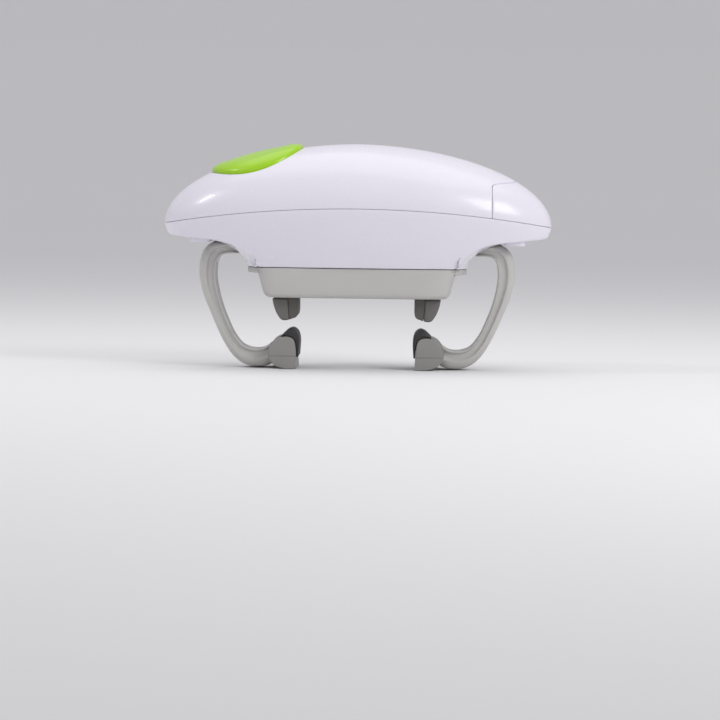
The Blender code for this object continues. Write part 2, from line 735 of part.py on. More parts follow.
def drive_train():
    drive, idler, motor_at = tuple(DRIVE_AT), tuple(IDLER_AT), tuple(MOTOR_AT)
    output = make("output_gear", gear(OUTPUT_TEETH, *OUTPUT_Z, math.pi / 2), acetal())
    cut(output, [rod(SPINDLE_R + GAP, OUTPUT_Z[0] - 1.0, OUTPUT_Z[1] + 1.0)], "bore")
    at_drive = (*drive, OUTPUT_Z[0])
    phase = -math.pi / 2 + math.pi / SMALL_TEETH
    shaft = make("drive_shaft", gear(SMALL_TEETH, *OUTPUT_Z, phase, drive), steel(), at_drive)
    join(shaft, [rod(DRIVE_ROD_R, OUTPUT_Z[0] - 0.4, LID_Z[1] - 0.2, drive, 16)], "rod")
    to_idler = tooth_toward(drive, idler)
    wheel = make("drive_gear", gear(DRIVE_TEETH, *LOWER_GEAR_Z, to_idler, drive), acetal(), at_drive)
    hole = rod(DRIVE_ROD_R + GAP, LOWER_GEAR_Z[0] - 1.0, LOWER_GEAR_Z[1] + 1.0, drive, 16)
    cut(wheel, [hole], "bore")
    small_phase = to_idler + math.pi + math.pi / MOTOR_TEETH
    large = gear(DRIVE_TEETH, *UPPER_GEAR_Z, tooth_toward(idler, motor_at), idler)
    small = gear(MOTOR_TEETH, LOWER_GEAR_Z[0], UPPER_GEAR_Z[0] + 0.8, small_phase, idler)
    compound = make("idler_gear", large, acetal(), (*idler, LOWER_GEAR_Z[0]))
    join(compound, [small], "small")
    hole = rod(AXLE_R + GAP, LOWER_GEAR_Z[0] - 1.0, UPPER_GEAR_Z[1] + 1.0, idler, 12)
    cut(compound, [hole], "bore")
    motor_phase = tooth_toward(motor_at, idler) + math.pi / MOTOR_TEETH
    pinion = make("motor_pinion", gear(MOTOR_TEETH, *UPPER_GEAR_Z, motor_phase, motor_at), acetal(),
                  (*motor_at, UPPER_GEAR_Z[0]))
    hole = rod(MOTOR_SHAFT_R + GAP, UPPER_GEAR_Z[0] - 1.0, UPPER_GEAR_Z[1] + 1.0, motor_at, 12)
    cut(pinion, [hole], "bore")
    make("motor_shaft", rod(MOTOR_SHAFT_R, UPPER_GEAR_Z[0], LID_Z[1] + 6.0, motor_at, 12), steel(),
         (*motor_at, UPPER_GEAR_Z[0]))


def rack_pinion(name, low):
    teeth = gear(RACK_TEETH, low, low + RACK_HEIGHT - 0.6, math.pi / 2)
    pinion = make(name, teeth, acetal(), (0.0, 0.0, low))
    cut(pinion, [rod(AXLE_R + GAP, low - 1.0, low + RACK_HEIGHT + 1.0, steps=16)], "bore")


# ---- Arms, shoes and pads


def shoe_outline(grow=0.0, side=1):
    """Side outline of a jar shoe: flat foot, upright inner face, domed top and back."""
    inner, top = SHOE_IN, SHOE_TOP
    key = ((inner + 7.0, 0.0), (inner + 12.0, 1.4), (inner + 15.6, 4.0), (inner + SHOE_DEPTH, 9.0),
           (inner + 16.2, 14.4), (inner + 12.4, top - 1.2), (inner + 7.6, top), (inner + 3.6, top - 0.6),
           (inner + 1.5, top - 3.0), (inner + 0.6, top - 8.0))
    line = [*smooth_through(key, 2), Vector((inner, 0.6)), Vector((inner + 0.8, 0.0))]
    if grow:
        line = offset_outline([line[-1], *line, line[0]], -grow)[1:-1]
    return mirrored([(p.x, p.y) for p in line], side)


def arm_outline(side):
    """C-shaped side outline: bar under the housing, bowed leg, foot reaching in to the shoe."""
    out, foot = ARM_OUT, SHOE_IN + SHOE_DEPTH
    bar_low, bar_high = ARM_BAR_Z
    outer = ((out - 12.0, bar_high), (out - 6.0, bar_high - 2.6), (out - 1.2, bar_high - 10.0),
             (out, bar_high - 19.0), (out - 3.3, 42.5), (out - 10.4, 25.5), (out - 18.0, 10.6),
             (out - 24.2, 3.4), (out - 32.0, 0.6), (foot + 2.6, 0.6), (foot - 1.4, 2.4))
    inner = ((foot - 5.4, 17.4), (foot - 1.6, 14.8), (foot + 2.8, 12.2), (foot + 9.0, 11.4),
             (out - 26.8, 14.0), (out - 20.4, 22.5), (out - 14.6, 36.5), (out - 11.0, 50.0), (out - 10.6, 60.0),
             (out - 12.4, bar_low - 2.4), (out - 18.0, bar_low - 0.1))
    line = [Vector((ARM_BAR_END, bar_low)), Vector((ARM_BAR_END, bar_high)), *smooth_through(outer, 2),
            *smooth_through(inner, 2)]
    return mirrored([(p.x, p.y) for p in line], side)


def arm_set(side, name):
    half = ARM_WIDTH / 2
    arm = make("arm_" + name, prism(arm_outline(side), -half, half, "Y"), arm_grey())
    cut(arm, [prism(shoe_outline(GAP, side), -half - 5.0, half + 5.0, "Y")], "shoe")
    pitch_y = side * MODULE * RACK_TEETH / 2
    ends = sorted((side * (ARM_BAR_END - GAP), -side * RACK_REACH))
    rack = rack_outline(*ends, pitch_y, side * 10.4)
    make("arm_rack_" + name, prism(rack, ARM_RACK_Z, ARM_RACK_Z + RACK_HEIGHT), acetal())
    form = prism(shoe_outline(0.0, side), -SHOE_WIDTH / 2, SHOE_WIDTH / 2, "Y")
    shoe = make("jar_shoe_" + name, form, shoe_grey())
    turn = Matrix.Translation((0.0, 0.0, SHOE_SCREW_Z)) @ Matrix.Rotation(side * math.pi / 2, 4, "Y")
    start = SHOE_IN + 3.0
    wide, thin, seat = SHOE_HEAD_R + GAP, SHANK_R + GAP, start + 1.2 + GAP
    counterbore = ((0.0, SHOE_IN - 3.0), (wide, SHOE_IN - 3.0), (wide, seat), (thin, seat),
                   (thin, start + 24.0), (0.0, start + 24.0))
    cut(shoe, [turned(counterbore, steps=14)], "bore", turn)
    cut(arm, [rod(SHANK_R + GAP, start, start + SHOE_SCREW_REACH + 1.5, steps=12)], "bore", turn)
    profile = ((0.0, start - 0.6), (SHOE_HEAD_R, start - 0.6), (SHOE_HEAD_R, start + 1.2),
               (SHANK_R, start + 1.2), (SHANK_R, start + SHOE_SCREW_REACH - 1.0),
               (0.0, start + SHOE_SCREW_REACH))
    make("shoe_screw_" + name, turned(profile, steps=14), steel(), frame=turn)
    pad = make("jar_pad_" + name, prism(pad_outline(side), -PAD_WIDTH / 2, PAD_WIDTH / 2, "Y"), rubber())
    cut(pad, [prism(shoe_outline(GAP, side), -SHOE_WIDTH, SHOE_WIDTH, "Y")], "shoe")


def pad_outline(side):
    """Rubber pad before the shoe is cut out of it: a thin face with a thick rounded top."""
    key = ((PAD_IN, 15.0), (PAD_IN + 0.3, 18.6), (PAD_IN + 1.6, 22.0), (PAD_IN + 4.4, PAD_TOP),
           (PAD_IN + 7.4, PAD_TOP - 0.9), (PAD_IN + 10.0, 20.6), (PAD_IN + 12.2, 18.2))
    line = [Vector((PAD_IN + 0.5, PAD_LOW)), *smooth_through(key, 3), Vector((PAD_IN + 8.0, 12.0)),
            Vector((PAD_IN + 3.0, PAD_LOW))]
    return mirrored([(p.x, p.y) for p in line], side)


# ---- Carriage and lid jaws


def tray_ring(inset, z, long, wide, steps=36):
    points = []
    for i in range(steps):
        angle = math.tau * (i + 0.5) / steps
        c, s = math.cos(angle), math.sin(angle)
        reach = (abs(c) ** TRAY_POWER + abs(s) ** TRAY_POWER) ** (-1.0 / TRAY_POWER)
        points.append(((long - inset) * reach * c, (wide - inset) * reach * s, z))
    return points


def tray_form(inset):
    """Drafted walls, rounded into the floor. Inset gives the hollow inside."""
    rise = TRAY_TOP - TRAY_BOTTOM
    floor = TRAY_BOTTOM + inset
    levels = ((0.0, 7.9, 6.5), (0.05, 6.0, 4.8), (0.14, 4.6, 3.6), (0.3, 3.4, 2.5), (1.0, 0.0, 0.0))
    top_up = 3.0 if inset else 0.0
    rings = [tray_ring(inset, floor + (rise - inset) * share + (top_up if share == 1.0 else 0.0),
                       TRAY_LONG - along, TRAY_WIDE - across) for share, along, across in levels]
    return loft(rings)


def plate_outline(grow=0.0):
    """A strip with ends rounded about the turning axis."""
    half, radius, steps = PLATE_HALF + grow, CARRIAGE_R + grow, 10
    limit = math.asin(half / radius)
    right = [(radius * math.cos(a), radius * math.sin(a))
             for a in (limit * (2 * i / steps - 1) for i in range(steps + 1))]
    return [*right, *[(-x, -y) for x, y in right]]


def tray_screw_spots():
    return ((0.0, -18.5), (0.0, 18.5))


def carriage():
    tray = make("carriage_tray", tray_form(0.0), arm_grey())
    cut(tray, [tray_form(TRAY_WALL)], "hollow")
    cut(tray, [prism(plate_outline(0.4), PLATE_Z[0] - 0.4, TRAY_TOP + 2.0)], "plate")
    post_top, head_z = PLATE_Z[0] - 0.5, TRAY_BOTTOM + 2.4
    join(tray, [rod(4.2, TRAY_BOTTOM + 0.8, post_top, spot, 16) for spot in tray_screw_spots()], "posts")
    bore = ((0.0, TRAY_BOTTOM - 1.0), (HEAD_R + GAP, TRAY_BOTTOM - 1.0), (HEAD_R + GAP, head_z),
            (SHANK_R + GAP, head_z), (SHANK_R + GAP, post_top + 1.0), (0.0, post_top + 1.0))
    near = (STEM_X[0] - JAW_CLOSE - 1.0, STEM_Y[0] - SLOT_CLEAR, TRAY_BOTTOM - 1.0)
    far = (STEM_X[1] + JAW_OPEN + 1.0, STEM_Y[1] + SLOT_CLEAR, TRAY_BOTTOM + 3.0)
    slots = [mirrored_block(side, near, far) for side, _ in sides()]
    cut(tray, [*slots, *[turned(bore, spot, 16) for spot in tray_screw_spots()]], "bores")
    plate = make("carriage_plate", prism(plate_outline(), *PLATE_Z), arm_grey())
    holes = [(SPINDLE_R, (0.0, 0.0)), *[(SHANK_R, spot) for spot in tray_screw_spots()]]
    bores = [rod(radius + GAP, PLATE_Z[0] - 1.0, PLATE_Z[1] + 1.0, spot, 20) for radius, spot in holes]
    cut(plate, bores, "holes")
    for i, (x, y) in enumerate(tray_screw_spots()):
        seat = head_z - GAP
        profile = ((0.0, seat - 1.7), (HEAD_R, seat - 1.7), (HEAD_R, seat), (SHANK_R, seat),
                   (SHANK_R, PLATE_Z[1] - 0.6), (0.0, PLATE_Z[1] - 0.2))
        make(f"tray_screw_{i + 1}", turned(profile, (x, y), 14), steel(), (x, y, seat))
    top = OUTPUT_Z[1] + 1.4
    flange_r, neck_r, bore = SPINDLE_R + 3.0, SPINDLE_R - 1.4, AXLE_R + GAP
    foot, step = LID_RACK_Z + RACK_HEIGHT + 1.0, OUTPUT_Z[1] + GAP
    profile = ((bore, foot), (flange_r, foot), (flange_r, PLATE_Z[0] - GAP), (SPINDLE_R, PLATE_Z[0] - GAP),
               (SPINDLE_R, step), (neck_r, step), (neck_r, top), (bore, top))
    make("carriage_spindle", turned(profile, steps=24), steel())
    make("spindle_clip", ring(neck_r + GAP, SPINDLE_R + 1.6, step + GAP, top - 0.2, steps=24), steel())
    make("spindle_bush", ring(SPINDLE_R + GAP, BUSH_R, NECK_Z + 0.1, NECK_Z + WALL + 0.3, steps=28),
         material("sintered_bronze", (0.5, 0.35, 0.2), 0.45, 1.0))
    make("jaw_pinion_pin", rod(AXLE_R, LID_RACK_Z - 0.6, LID_RACK_Z + 8.0, steps=12), steel())
    make("arm_pinion_pin", rod(AXLE_R, ARM_RACK_Z - 0.1, BASE_Z[1] - 0.1, steps=12), steel())


def jaw_set(side, name):
    """Dark jaw with a rubber face, a stem through the tray's slot and a rack inside the tray."""
    low, high = JAW_Z
    out, ridge, inner = JAW_OUT, JAW_RIDGE, JAW_IN
    body_key = ((out, high), (out - 1.0, high - 4.6), (out - 2.7, high - 9.0), (out - 4.8, low + 1.2),
                (out - 6.4, low + 0.1), (ridge + 1.2, low), (ridge - 1.0, low + 0.4))
    body = [*smooth_through(body_key, 2), Vector((ridge - 0.4, high - 7.0)), Vector((ridge, high))]
    half = JAW_WIDTH / 2
    form = prism(mirrored([(p.x, p.y) for p in body], side), -half, half, "Y")
    jaw = make("lid_jaw_" + name, form, jaw_grey())
    top = LID_RACK_Z + RACK_HEIGHT
    stem = mirrored_block(side, (ridge + 0.4, STEM_Y[0], high - 1.0), (STEM_X[1], STEM_Y[1], LID_RACK_Z))
    head = mirrored_block(side, (STEM_X[0], STEM_Y[0], LID_RACK_Z - 1.2), (STEM_X[1], STEM_Y[1], top))
    join(jaw, [stem], "stem")
    join(jaw, [head], "head")
    face = [(inner, high), (inner, low + 5.0), (inner + 0.5, low + 3.2), (inner + 1.7, low + 1.8),
            (inner + 3.4, low + 1.2), (ridge - 1.0 - GAP, low + 0.5), (ridge - 0.4 - GAP, high - 7.0),
            (ridge - GAP, high)]
    make("lid_pad_" + name, prism(mirrored(face, side), 1.0 - half, half - 1.0, "Y"), rubber())
    pitch_y = side * MODULE * RACK_TEETH / 2
    ends = sorted((side * (STEM_X[0] - GAP), -side * RACK_REACH))
    rack = rack_outline(*ends, pitch_y, side * STEM_Y[1])
    make("lid_rack_" + name, prism(rack, LID_RACK_Z, top), acetal())


def build():
    for obj in list(bpy.data.objects):
        bpy.data.objects.remove(obj)
    upper_shell()
    battery_cover()
    lower_shell()
    shell_screws()
    button()
    switch()
    battery_bay()
    gearbox()
    motor()
    drive_train()
    rack_pinion("arm_pinion", ARM_RACK_Z)
    rack_pinion("jaw_pinion", LID_RACK_Z)
    for side, name in sides():
        arm_set(side, name)
        jaw_set(side, name)
    carriage()


build()
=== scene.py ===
import json
import math

import bmesh
import bpy
from mathutils import Matrix, Vector


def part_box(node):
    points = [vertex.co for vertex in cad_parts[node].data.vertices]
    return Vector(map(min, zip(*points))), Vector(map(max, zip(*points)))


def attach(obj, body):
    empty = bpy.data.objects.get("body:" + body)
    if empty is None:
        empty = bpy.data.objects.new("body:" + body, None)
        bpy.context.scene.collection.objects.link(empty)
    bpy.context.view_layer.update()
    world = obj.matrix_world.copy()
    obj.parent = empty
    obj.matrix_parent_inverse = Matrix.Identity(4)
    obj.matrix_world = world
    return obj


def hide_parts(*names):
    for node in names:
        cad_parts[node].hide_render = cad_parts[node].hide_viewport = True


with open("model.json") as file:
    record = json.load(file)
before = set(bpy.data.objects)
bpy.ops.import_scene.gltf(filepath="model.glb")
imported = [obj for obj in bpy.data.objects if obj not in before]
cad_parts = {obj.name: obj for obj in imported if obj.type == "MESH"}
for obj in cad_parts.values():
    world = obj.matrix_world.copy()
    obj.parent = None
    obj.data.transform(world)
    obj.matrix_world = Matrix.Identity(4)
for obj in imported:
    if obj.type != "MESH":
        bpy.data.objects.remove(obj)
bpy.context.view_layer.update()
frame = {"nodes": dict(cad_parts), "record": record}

mm = 0.001
sides = ((-1, "left"), (1, "right"))


def boxOf(node):
    low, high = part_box(node)
    return low / mm, high / mm   # in millimetres


# colours and materials

def toLinear(hexColour, alpha=1.0):
    parts = [int(hexColour[i:i + 2], 16) / 255 for i in (1, 3, 5)]
    return (*[c / 12.92 if c <= 0.04045 else ((c + 0.055) / 1.055) ** 2.4 for c in parts], alpha)


def perMetre(sizeMm):
    return 1000.0 / sizeMm       # pattern scale for a feature of this size


def addNode(tree, kind, settings=None, values=None, links=None):
    node = tree.nodes.new(kind)
    for name, value in (settings or {}).items():
        setattr(node, name, value)
    for name, value in (values or {}).items():
        node.inputs[name].default_value = value
    for name, source in (links or {}).items():
        tree.links.new(source, node.inputs[name])
    return node


def newMaterial(name, roughness, metallic=0.0, coat=0.0):
    material = bpy.data.materials.new(name)
    material.use_nodes = True
    shader = material.node_tree.nodes["Principled BSDF"]
    shader.inputs["Roughness"].default_value = roughness
    shader.inputs["Metallic"].default_value = metallic
    shader.inputs["Coat Weight"].default_value = coat
    return material, material.node_tree, shader


def mouldedPlastic(name, look):
    # moulded ABS: an even colour with faint flow shading, and a fine grain that softens highlights
    material, tree, shader = newMaterial(name, look["roughness"], coat=look.get("coat", 0.0))
    shader.inputs["IOR"].default_value = 1.53
    coords = addNode(tree, "ShaderNodeTexCoord").outputs["Object"]
    flow = addNode(tree, "ShaderNodeTexNoise", values={"Scale": perMetre(look["flowMm"]), "Detail": 2.0},
                   links={"Vector": coords})
    colour = addNode(tree, "ShaderNodeMix", {"data_type": "RGBA"}, links={0: flow.outputs["Fac"]})
    colour.inputs[6].default_value = toLinear(look["colour"])
    colour.inputs[7].default_value = toLinear(look["shade"])
    tree.links.new(colour.outputs[2], shader.inputs["Base Color"])
    grain = addNode(tree, "ShaderNodeTexNoise", values={"Scale": perMetre(look["grainMm"]), "Detail": 3.0},
                    links={"Vector": coords})
    rough = addNode(tree, "ShaderNodeMapRange", values={"To Min": look["roughness"] - 0.04,
                                                         "To Max": look["roughness"] + 0.05},
                    links={"Value": grain.outputs["Fac"]})
    tree.links.new(rough.outputs["Result"], shader.inputs["Roughness"])
    bump = addNode(tree, "ShaderNodeBump", values={"Strength": look["grainDepth"], "Distance": 0.0001},
                   links={"Height": grain.outputs["Fac"]})
    tree.links.new(bump.outputs["Normal"], shader.inputs["Normal"])
    return material


def mouldedRubber(name, look):
    # moulded rubber: nearly black, dull, with a coarse matt grain and dusty lighter specks
    material, tree, shader = newMaterial(name, look["roughness"])
    coords = addNode(tree, "ShaderNodeTexCoord").outputs["Object"]
    grain = addNode(tree, "ShaderNodeTexNoise", values={"Scale": perMetre(look["grainMm"]), "Detail": 5.0},
                    links={"Vector": coords})
    ramp = addNode(tree, "ShaderNodeValToRGB", links={"Fac": grain.outputs["Fac"]})
    ramp.color_ramp.elements[0].position = 0.35
    ramp.color_ramp.elements[0].color = toLinear(look["colour"])
    ramp.color_ramp.elements[1].position = 0.75
    ramp.color_ramp.elements[1].color = toLinear(look["shade"])
    tree.links.new(ramp.outputs["Color"], shader.inputs["Base Color"])
    bump = addNode(tree, "ShaderNodeBump", values={"Strength": look["grainDepth"], "Distance": 0.0003},
                   links={"Height": grain.outputs["Fac"]})
    tree.links.new(bump.outputs["Normal"], shader.inputs["Normal"])
    return material


def platedMetal(name, look):
    # plated or turned metal: mirror-like base broken by fine tool marks
    material, tree, shader = newMaterial(name, look["roughness"], metallic=1.0)
    coords = addNode(tree, "ShaderNodeTexCoord").outputs["Object"]
    marks = addNode(tree, "ShaderNodeTexNoise", values={"Scale": perMetre(look["grainMm"]), "Detail": 4.0},
                    links={"Vector": coords})
    colour = addNode(tree, "ShaderNodeMix", {"data_type": "RGBA"}, links={0: marks.outputs["Fac"]})
    colour.inputs[6].default_value = toLinear(look["colour"])
    colour.inputs[7].default_value = toLinear(look["shade"])
    tree.links.new(colour.outputs[2], shader.inputs["Base Color"])
    rough = addNode(tree, "ShaderNodeMapRange", values={"To Min": look["roughness"] - 0.08,
                                                         "To Max": look["roughness"] + 0.1},
                    links={"Value": marks.outputs["Fac"]})
    tree.links.new(rough.outputs["Result"], shader.inputs["Roughness"])
    return material


looks = {
    "glossWhiteAbs": (mouldedPlastic, {"colour": "#e8e5ef", "shade": "#e4e1eb", "roughness": 0.26,
                                       "coat": 0.2, "flowMm": 45.0, "grainMm": 0.5, "grainDepth": 0.05}),
    "limeGreenAbs": (mouldedPlastic, {"colour": "#a5d714", "shade": "#9fd20f", "roughness": 0.28,
                                      "coat": 0.15, "flowMm": 30.0, "grainMm": 0.5, "grainDepth": 0.05}),
    "satinGreyAbs": (mouldedPlastic, {"colour": "#c3c2be", "shade": "#bdbcb8", "roughness": 0.36,
                                      "flowMm": 20.0, "grainMm": 0.5, "grainDepth": 0.12}),
    "shoeGreyAbs": (mouldedPlastic, {"colour": "#93918e", "shade": "#8a8986", "roughness": 0.45,
                                     "flowMm": 12.0, "grainMm": 0.5, "grainDepth": 0.2}),
    "darkGreyAbs": (mouldedPlastic, {"colour": "#6d6b67", "shade": "#656360", "roughness": 0.45,
                                     "flowMm": 12.0, "grainMm": 0.5, "grainDepth": 0.2}),
    "lidPadRubber": (mouldedRubber, {"colour": "#575550", "shade": "#62605b", "roughness": 0.62,
                                     "grainMm": 0.6, "grainDepth": 0.3}),
    "blackRubber": (mouldedRubber, {"colour": "#2b2929", "shade": "#3d3a3a", "roughness": 0.6,
                                    "grainMm": 0.6, "grainDepth": 0.35}),
    "zincPlatedSteel": (platedMetal, {"colour": "#b9bcc0", "shade": "#a4a8ad", "roughness": 0.32,
                                      "grainMm": 0.7}),
    "sinteredBronze": (platedMetal, {"colour": "#b08a52", "shade": "#94713f", "roughness": 0.45,
                                     "grainMm": 0.5}),
    "naturalAcetal": (mouldedPlastic, {"colour": "#dcd8cc", "shade": "#d3cfc2", "roughness": 0.4,
                                       "flowMm": 10.0, "grainMm": 0.6, "grainDepth": 0.1}),
    "blackNylon": (mouldedPlastic, {"colour": "#262626", "shade": "#2c2c2c", "roughness": 0.5,
                                    "flowMm": 8.0, "grainMm": 0.5, "grainDepth": 0.2}),
    "greenSolderMask": (mouldedPlastic, {"colour": "#1c5a30", "shade": "#164a27", "roughness": 0.35,
                                         "flowMm": 3.0, "grainMm": 0.6, "grainDepth": 0.1}),
    "shrinkWrap": (mouldedPlastic, {"colour": "#3a3d42", "shade": "#33363a", "roughness": 0.3,
                                    "flowMm": 6.0, "grainMm": 0.6, "grainDepth": 0.05}),
}
finishes = {name: make(name, look) for name, (make, look) in looks.items()}
slotFinish = {"white_shell": "glossWhiteAbs", "green_button": "limeGreenAbs", "arm_grey": "satinGreyAbs",
              "shoe_grey": "shoeGreyAbs", "jaw_grey": "darkGreyAbs", "rubber": "blackRubber",
              "steel": "zincPlatedSteel", "acetal": "naturalAcetal", "bronze": "sinteredBronze",
              "black_plastic": "blackNylon", "board_green": "greenSolderMask", "cell_wrap": "shrinkWrap"}
print("materials made:", len(finishes))


# mesh helpers; shapes are drawn in millimetres and scaled to metres when they become pieces

def gridOf(columns, rows, place):
    bm = bmesh.new()
    bmesh.ops.create_grid(bm, x_segments=columns, y_segments=rows, size=0.5)
    for vert in bm.verts:
        vert.co = place(vert.co.x + 0.5, vert.co.y + 0.5)
    bmesh.ops.remove_doubles(bm, verts=bm.verts, dist=0.002)
    bmesh.ops.dissolve_degenerate(bm, edges=bm.edges, dist=0.001)
    return bm


def faceOut(bm, middle):
    bmesh.ops.recalc_face_normals(bm, faces=bm.faces)
    total = sum((face.calc_center_median() - Vector(middle)).dot(face.normal) * face.calc_area()
                for face in bm.faces)
    if total < 0.0:
        bmesh.ops.reverse_faces(bm, faces=bm.faces)


def closeHoles(bm):
    bmesh.ops.holes_fill(bm, edges=[edge for edge in bm.edges if edge.is_boundary], sides=0)


def slabOf(outline, low, high, axis="Y"):
    bm = bmesh.new()
    if axis == "Y":
        verts = [bm.verts.new((x, low, z)) for x, z in outline]
        step = Vector((0.0, high - low, 0.0))
    else:
        verts = [bm.verts.new((x, y, low)) for x, y in outline]
        step = Vector((0.0, 0.0, high - low))
    face = bm.faces.new(verts)
    pulled = bmesh.ops.extrude_face_region(bm, geom=[face], use_keep_orig=True)["geom"]
    moved = [item for item in pulled if isinstance(item, bmesh.types.BMVert)]
    bmesh.ops.translate(bm, vec=step, verts=moved)
    bmesh.ops.recalc_face_normals(bm, faces=bm.faces)
    return bm


def turnedOf(profile, at=(0.0, 0.0), steps=48):
    bm = bmesh.new()
    verts = [bm.verts.new((r, 0.0, z)) for r, z in profile]
    edges = [bm.edges.new(pair) for pair in zip(verts, verts[1:])]
    if profile[0][0] > 0.0:
        edges.append(bm.edges.new((verts[-1], verts[0])))
    bmesh.ops.spin(bm, geom=verts + edges, cent=(0, 0, 0), axis=(0, 0, 1), angle=math.tau, steps=steps,
                   use_merge=True)
    bmesh.ops.remove_doubles(bm, verts=bm.verts, dist=0.001)
    bmesh.ops.translate(bm, vec=(at[0], at[1], 0.0), verts=bm.verts)
    bmesh.ops.recalc_face_normals(bm, faces=bm.faces)
    return bm


def roundEdges(bm, width, segments=3, sharperThan=35.0, chosen=None):
    limit = math.radians(sharperThan)
    wanted = [edge for edge in bm.edges if edge.is_manifold and edge.calc_face_angle(0.0) > limit
              and (chosen is None or chosen(edge))]
    bmesh.ops.bevel(bm, geom=wanted, offset=width, offset_type="OFFSET", segments=segments, profile=0.5,
                    affect="EDGES", clamp_overlap=False, material=-1)
    bmesh.ops.remove_doubles(bm, verts=bm.verts, dist=0.002)
    bmesh.ops.dissolve_degenerate(bm, edges=bm.edges, dist=0.001)


def smoothCurve(points, steps=6):
    out = []
    last = len(points) - 1
    for i in range(last):
        p0, p1 = Vector(points[max(i - 1, 0)]), Vector(points[i])
        p2, p3 = Vector(points[i + 1]), Vector(points[min(i + 2, last)])
        for j in range(steps):
            t = j / steps
            out.append(0.5 * (2 * p1 + (p2 - p0) * t + (2 * p0 - 5 * p1 + 4 * p2 - p3) * t * t
                              + (3 * p1 - p0 - 3 * p2 + p3) * t ** 3))
    out.append(Vector(points[last]))
    return out


def pointAt(curve, share):
    place = share * (len(curve) - 1)
    i = min(int(place), len(curve) - 2)
    return curve[i].lerp(curve[i + 1], place - i)


def offsetLine(points, distance):
    out = []
    for i, point in enumerate(points):
        along = Vector(points[min(i + 1, len(points) - 1)]) - Vector(points[max(i - 1, 0)])
        out.append(Vector(point) + distance * Vector((-along.y, along.x)).normalized())
    return out


def plainObject(name, bm):
    mesh = bpy.data.meshes.new(name)
    bm.to_mesh(mesh)
    bm.free()
    made = bpy.data.objects.new(name, mesh)
    bpy.context.scene.collection.objects.link(made)
    return made


def carved(bm, cutters, operation="DIFFERENCE", solver="EXACT"):
    # cuts or joins closed shapes and gives back one bmesh; faces left by the cutter carry material index 1
    work = plainObject("work", bm)
    helpers = []
    for cutter in cutters:
        for face in cutter.faces:
            face.material_index = 1
        helper = plainObject("helper", cutter)
        helpers.append(helper)
        change = work.modifiers.new("cut", "BOOLEAN")
        change.operation = operation
        change.solver = solver
        change.material_mode = "INDEX"
        change.object = helper
    bpy.context.view_layer.update()
    result = bpy.data.meshes.new_from_object(work.evaluated_get(bpy.context.evaluated_depsgraph_get()))
    out = bmesh.new()
    out.from_mesh(result)
    bpy.data.meshes.remove(result)
    for helper in [work, *helpers]:
        mesh = helper.data
        bpy.data.objects.remove(helper)
        bpy.data.meshes.remove(mesh)
    return out


def piece(name, bm, finish, body, replaced, smoothAngle=32.0):
    for face in bm.faces:
        face.material_index = 0
    bmesh.ops.scale(bm, vec=(mm, mm, mm), verts=bm.verts)
    made = plainObject(name, bm)
    made.data.materials.append(finishes[finish])
    made.data.shade_smooth()
    made.data.set_sharp_from_angle(angle=math.radians(smoothAngle))
    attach(made, body)
    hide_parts(*replaced)
    return made


# housing

shellLow, shellHigh = boxOf("lower_shell")
domeLow, domeHigh = boxOf("upper_shell")
gap = 0.3
housing = {"halfLength": shellHigh.x, "halfWidth": shellHigh.y, "crest": domeHigh.z, "tip": domeLow.z,
           "crown": shellHigh.z + gap / 2 - domeLow.z, "neck": shellLow.z, "planPower": 2.25,
           "crestPower": 1.87, "lean": 13.5, "wall": 2.2, "edge": 0.35}


def halfWidth(x):
    u = min(abs(x) / housing["halfLength"], 1.0)
    return housing["halfWidth"] * (1.0 - u ** housing["planPower"]) ** (1.0 / housing["planPower"])


def partingZ(x):
    return housing["tip"] + housing["crown"] * (1.0 - min(abs(x) / housing["halfLength"], 1.0) ** 2)


def crestZ(x):
    u = min(abs(x) / housing["halfLength"], 1.0)
    rise = housing["crest"] - housing["tip"]
    return housing["tip"] + rise * math.sqrt(1.0 - u ** housing["crestPower"])


def domePoint(x, angle):
    low = partingZ(x) + gap / 2
    high = max(crestZ(x) - low, 0.0)
    return Vector((x, -halfWidth(x) * math.cos(angle), low + high * math.sin(angle)))


def domeZ(x, y):
    wide, low = max(halfWidth(x), 0.001), partingZ(x)
    return low + max(crestZ(x) - low, 0.0) * math.sqrt(max(1.0 - (y / wide) ** 2, 0.0))


coverLow, _ = boxOf("battery_cover")
seam = {"foot": coverLow.x - gap / 2, "nose": 14.5, "half": 26.0}


def seamX(y):
    share = max(1.0 - abs(y / seam["half"]) ** 2.8, 0.0)
    return seam["foot"] + seam["nose"] * share ** 1.4


def seamOnDome(angle, shift):
    x = seam["foot"]
    for _ in range(30):
        x = 0.5 * x + 0.5 * (seamX(domePoint(x, angle).y) + shift)
    return x


def withWall(bm, wall):
    # gives an open skin its thickness, inwards
    work = plainObject("skin", bm)
    thick = work.modifiers.new("wall", "SOLIDIFY")
    thick.thickness = wall
    thick.offset = -1.0
    bpy.context.view_layer.update()
    result = bpy.data.meshes.new_from_object(work.evaluated_get(bpy.context.evaluated_depsgraph_get()))
    out = bmesh.new()
    out.from_mesh(result)
    mesh = work.data
    bpy.data.objects.remove(work)
    bpy.data.meshes.remove(mesh)
    bpy.data.meshes.remove(result)
    return out


button = {"long": 28.6, "wide": 26.7, "share": 0.525, "sunk": 1.24, "tilt": math.radians(16.5),
          "proud": 3.2, "edge": 0.2, "skirt": 5.0, "wall": 2.0, "clear": 0.65,
          "dishShare": 0.66, "dishDepth": 0.45, "ceiling": -1.1}
button["x"] = -button["share"] * housing["halfLength"]
buttonFrame = (Matrix.Translation((button["x"], 0.0, crestZ(button["x"]) - button["sunk"]))
               @ Matrix.Rotation(-button["tilt"], 4, "Y"))


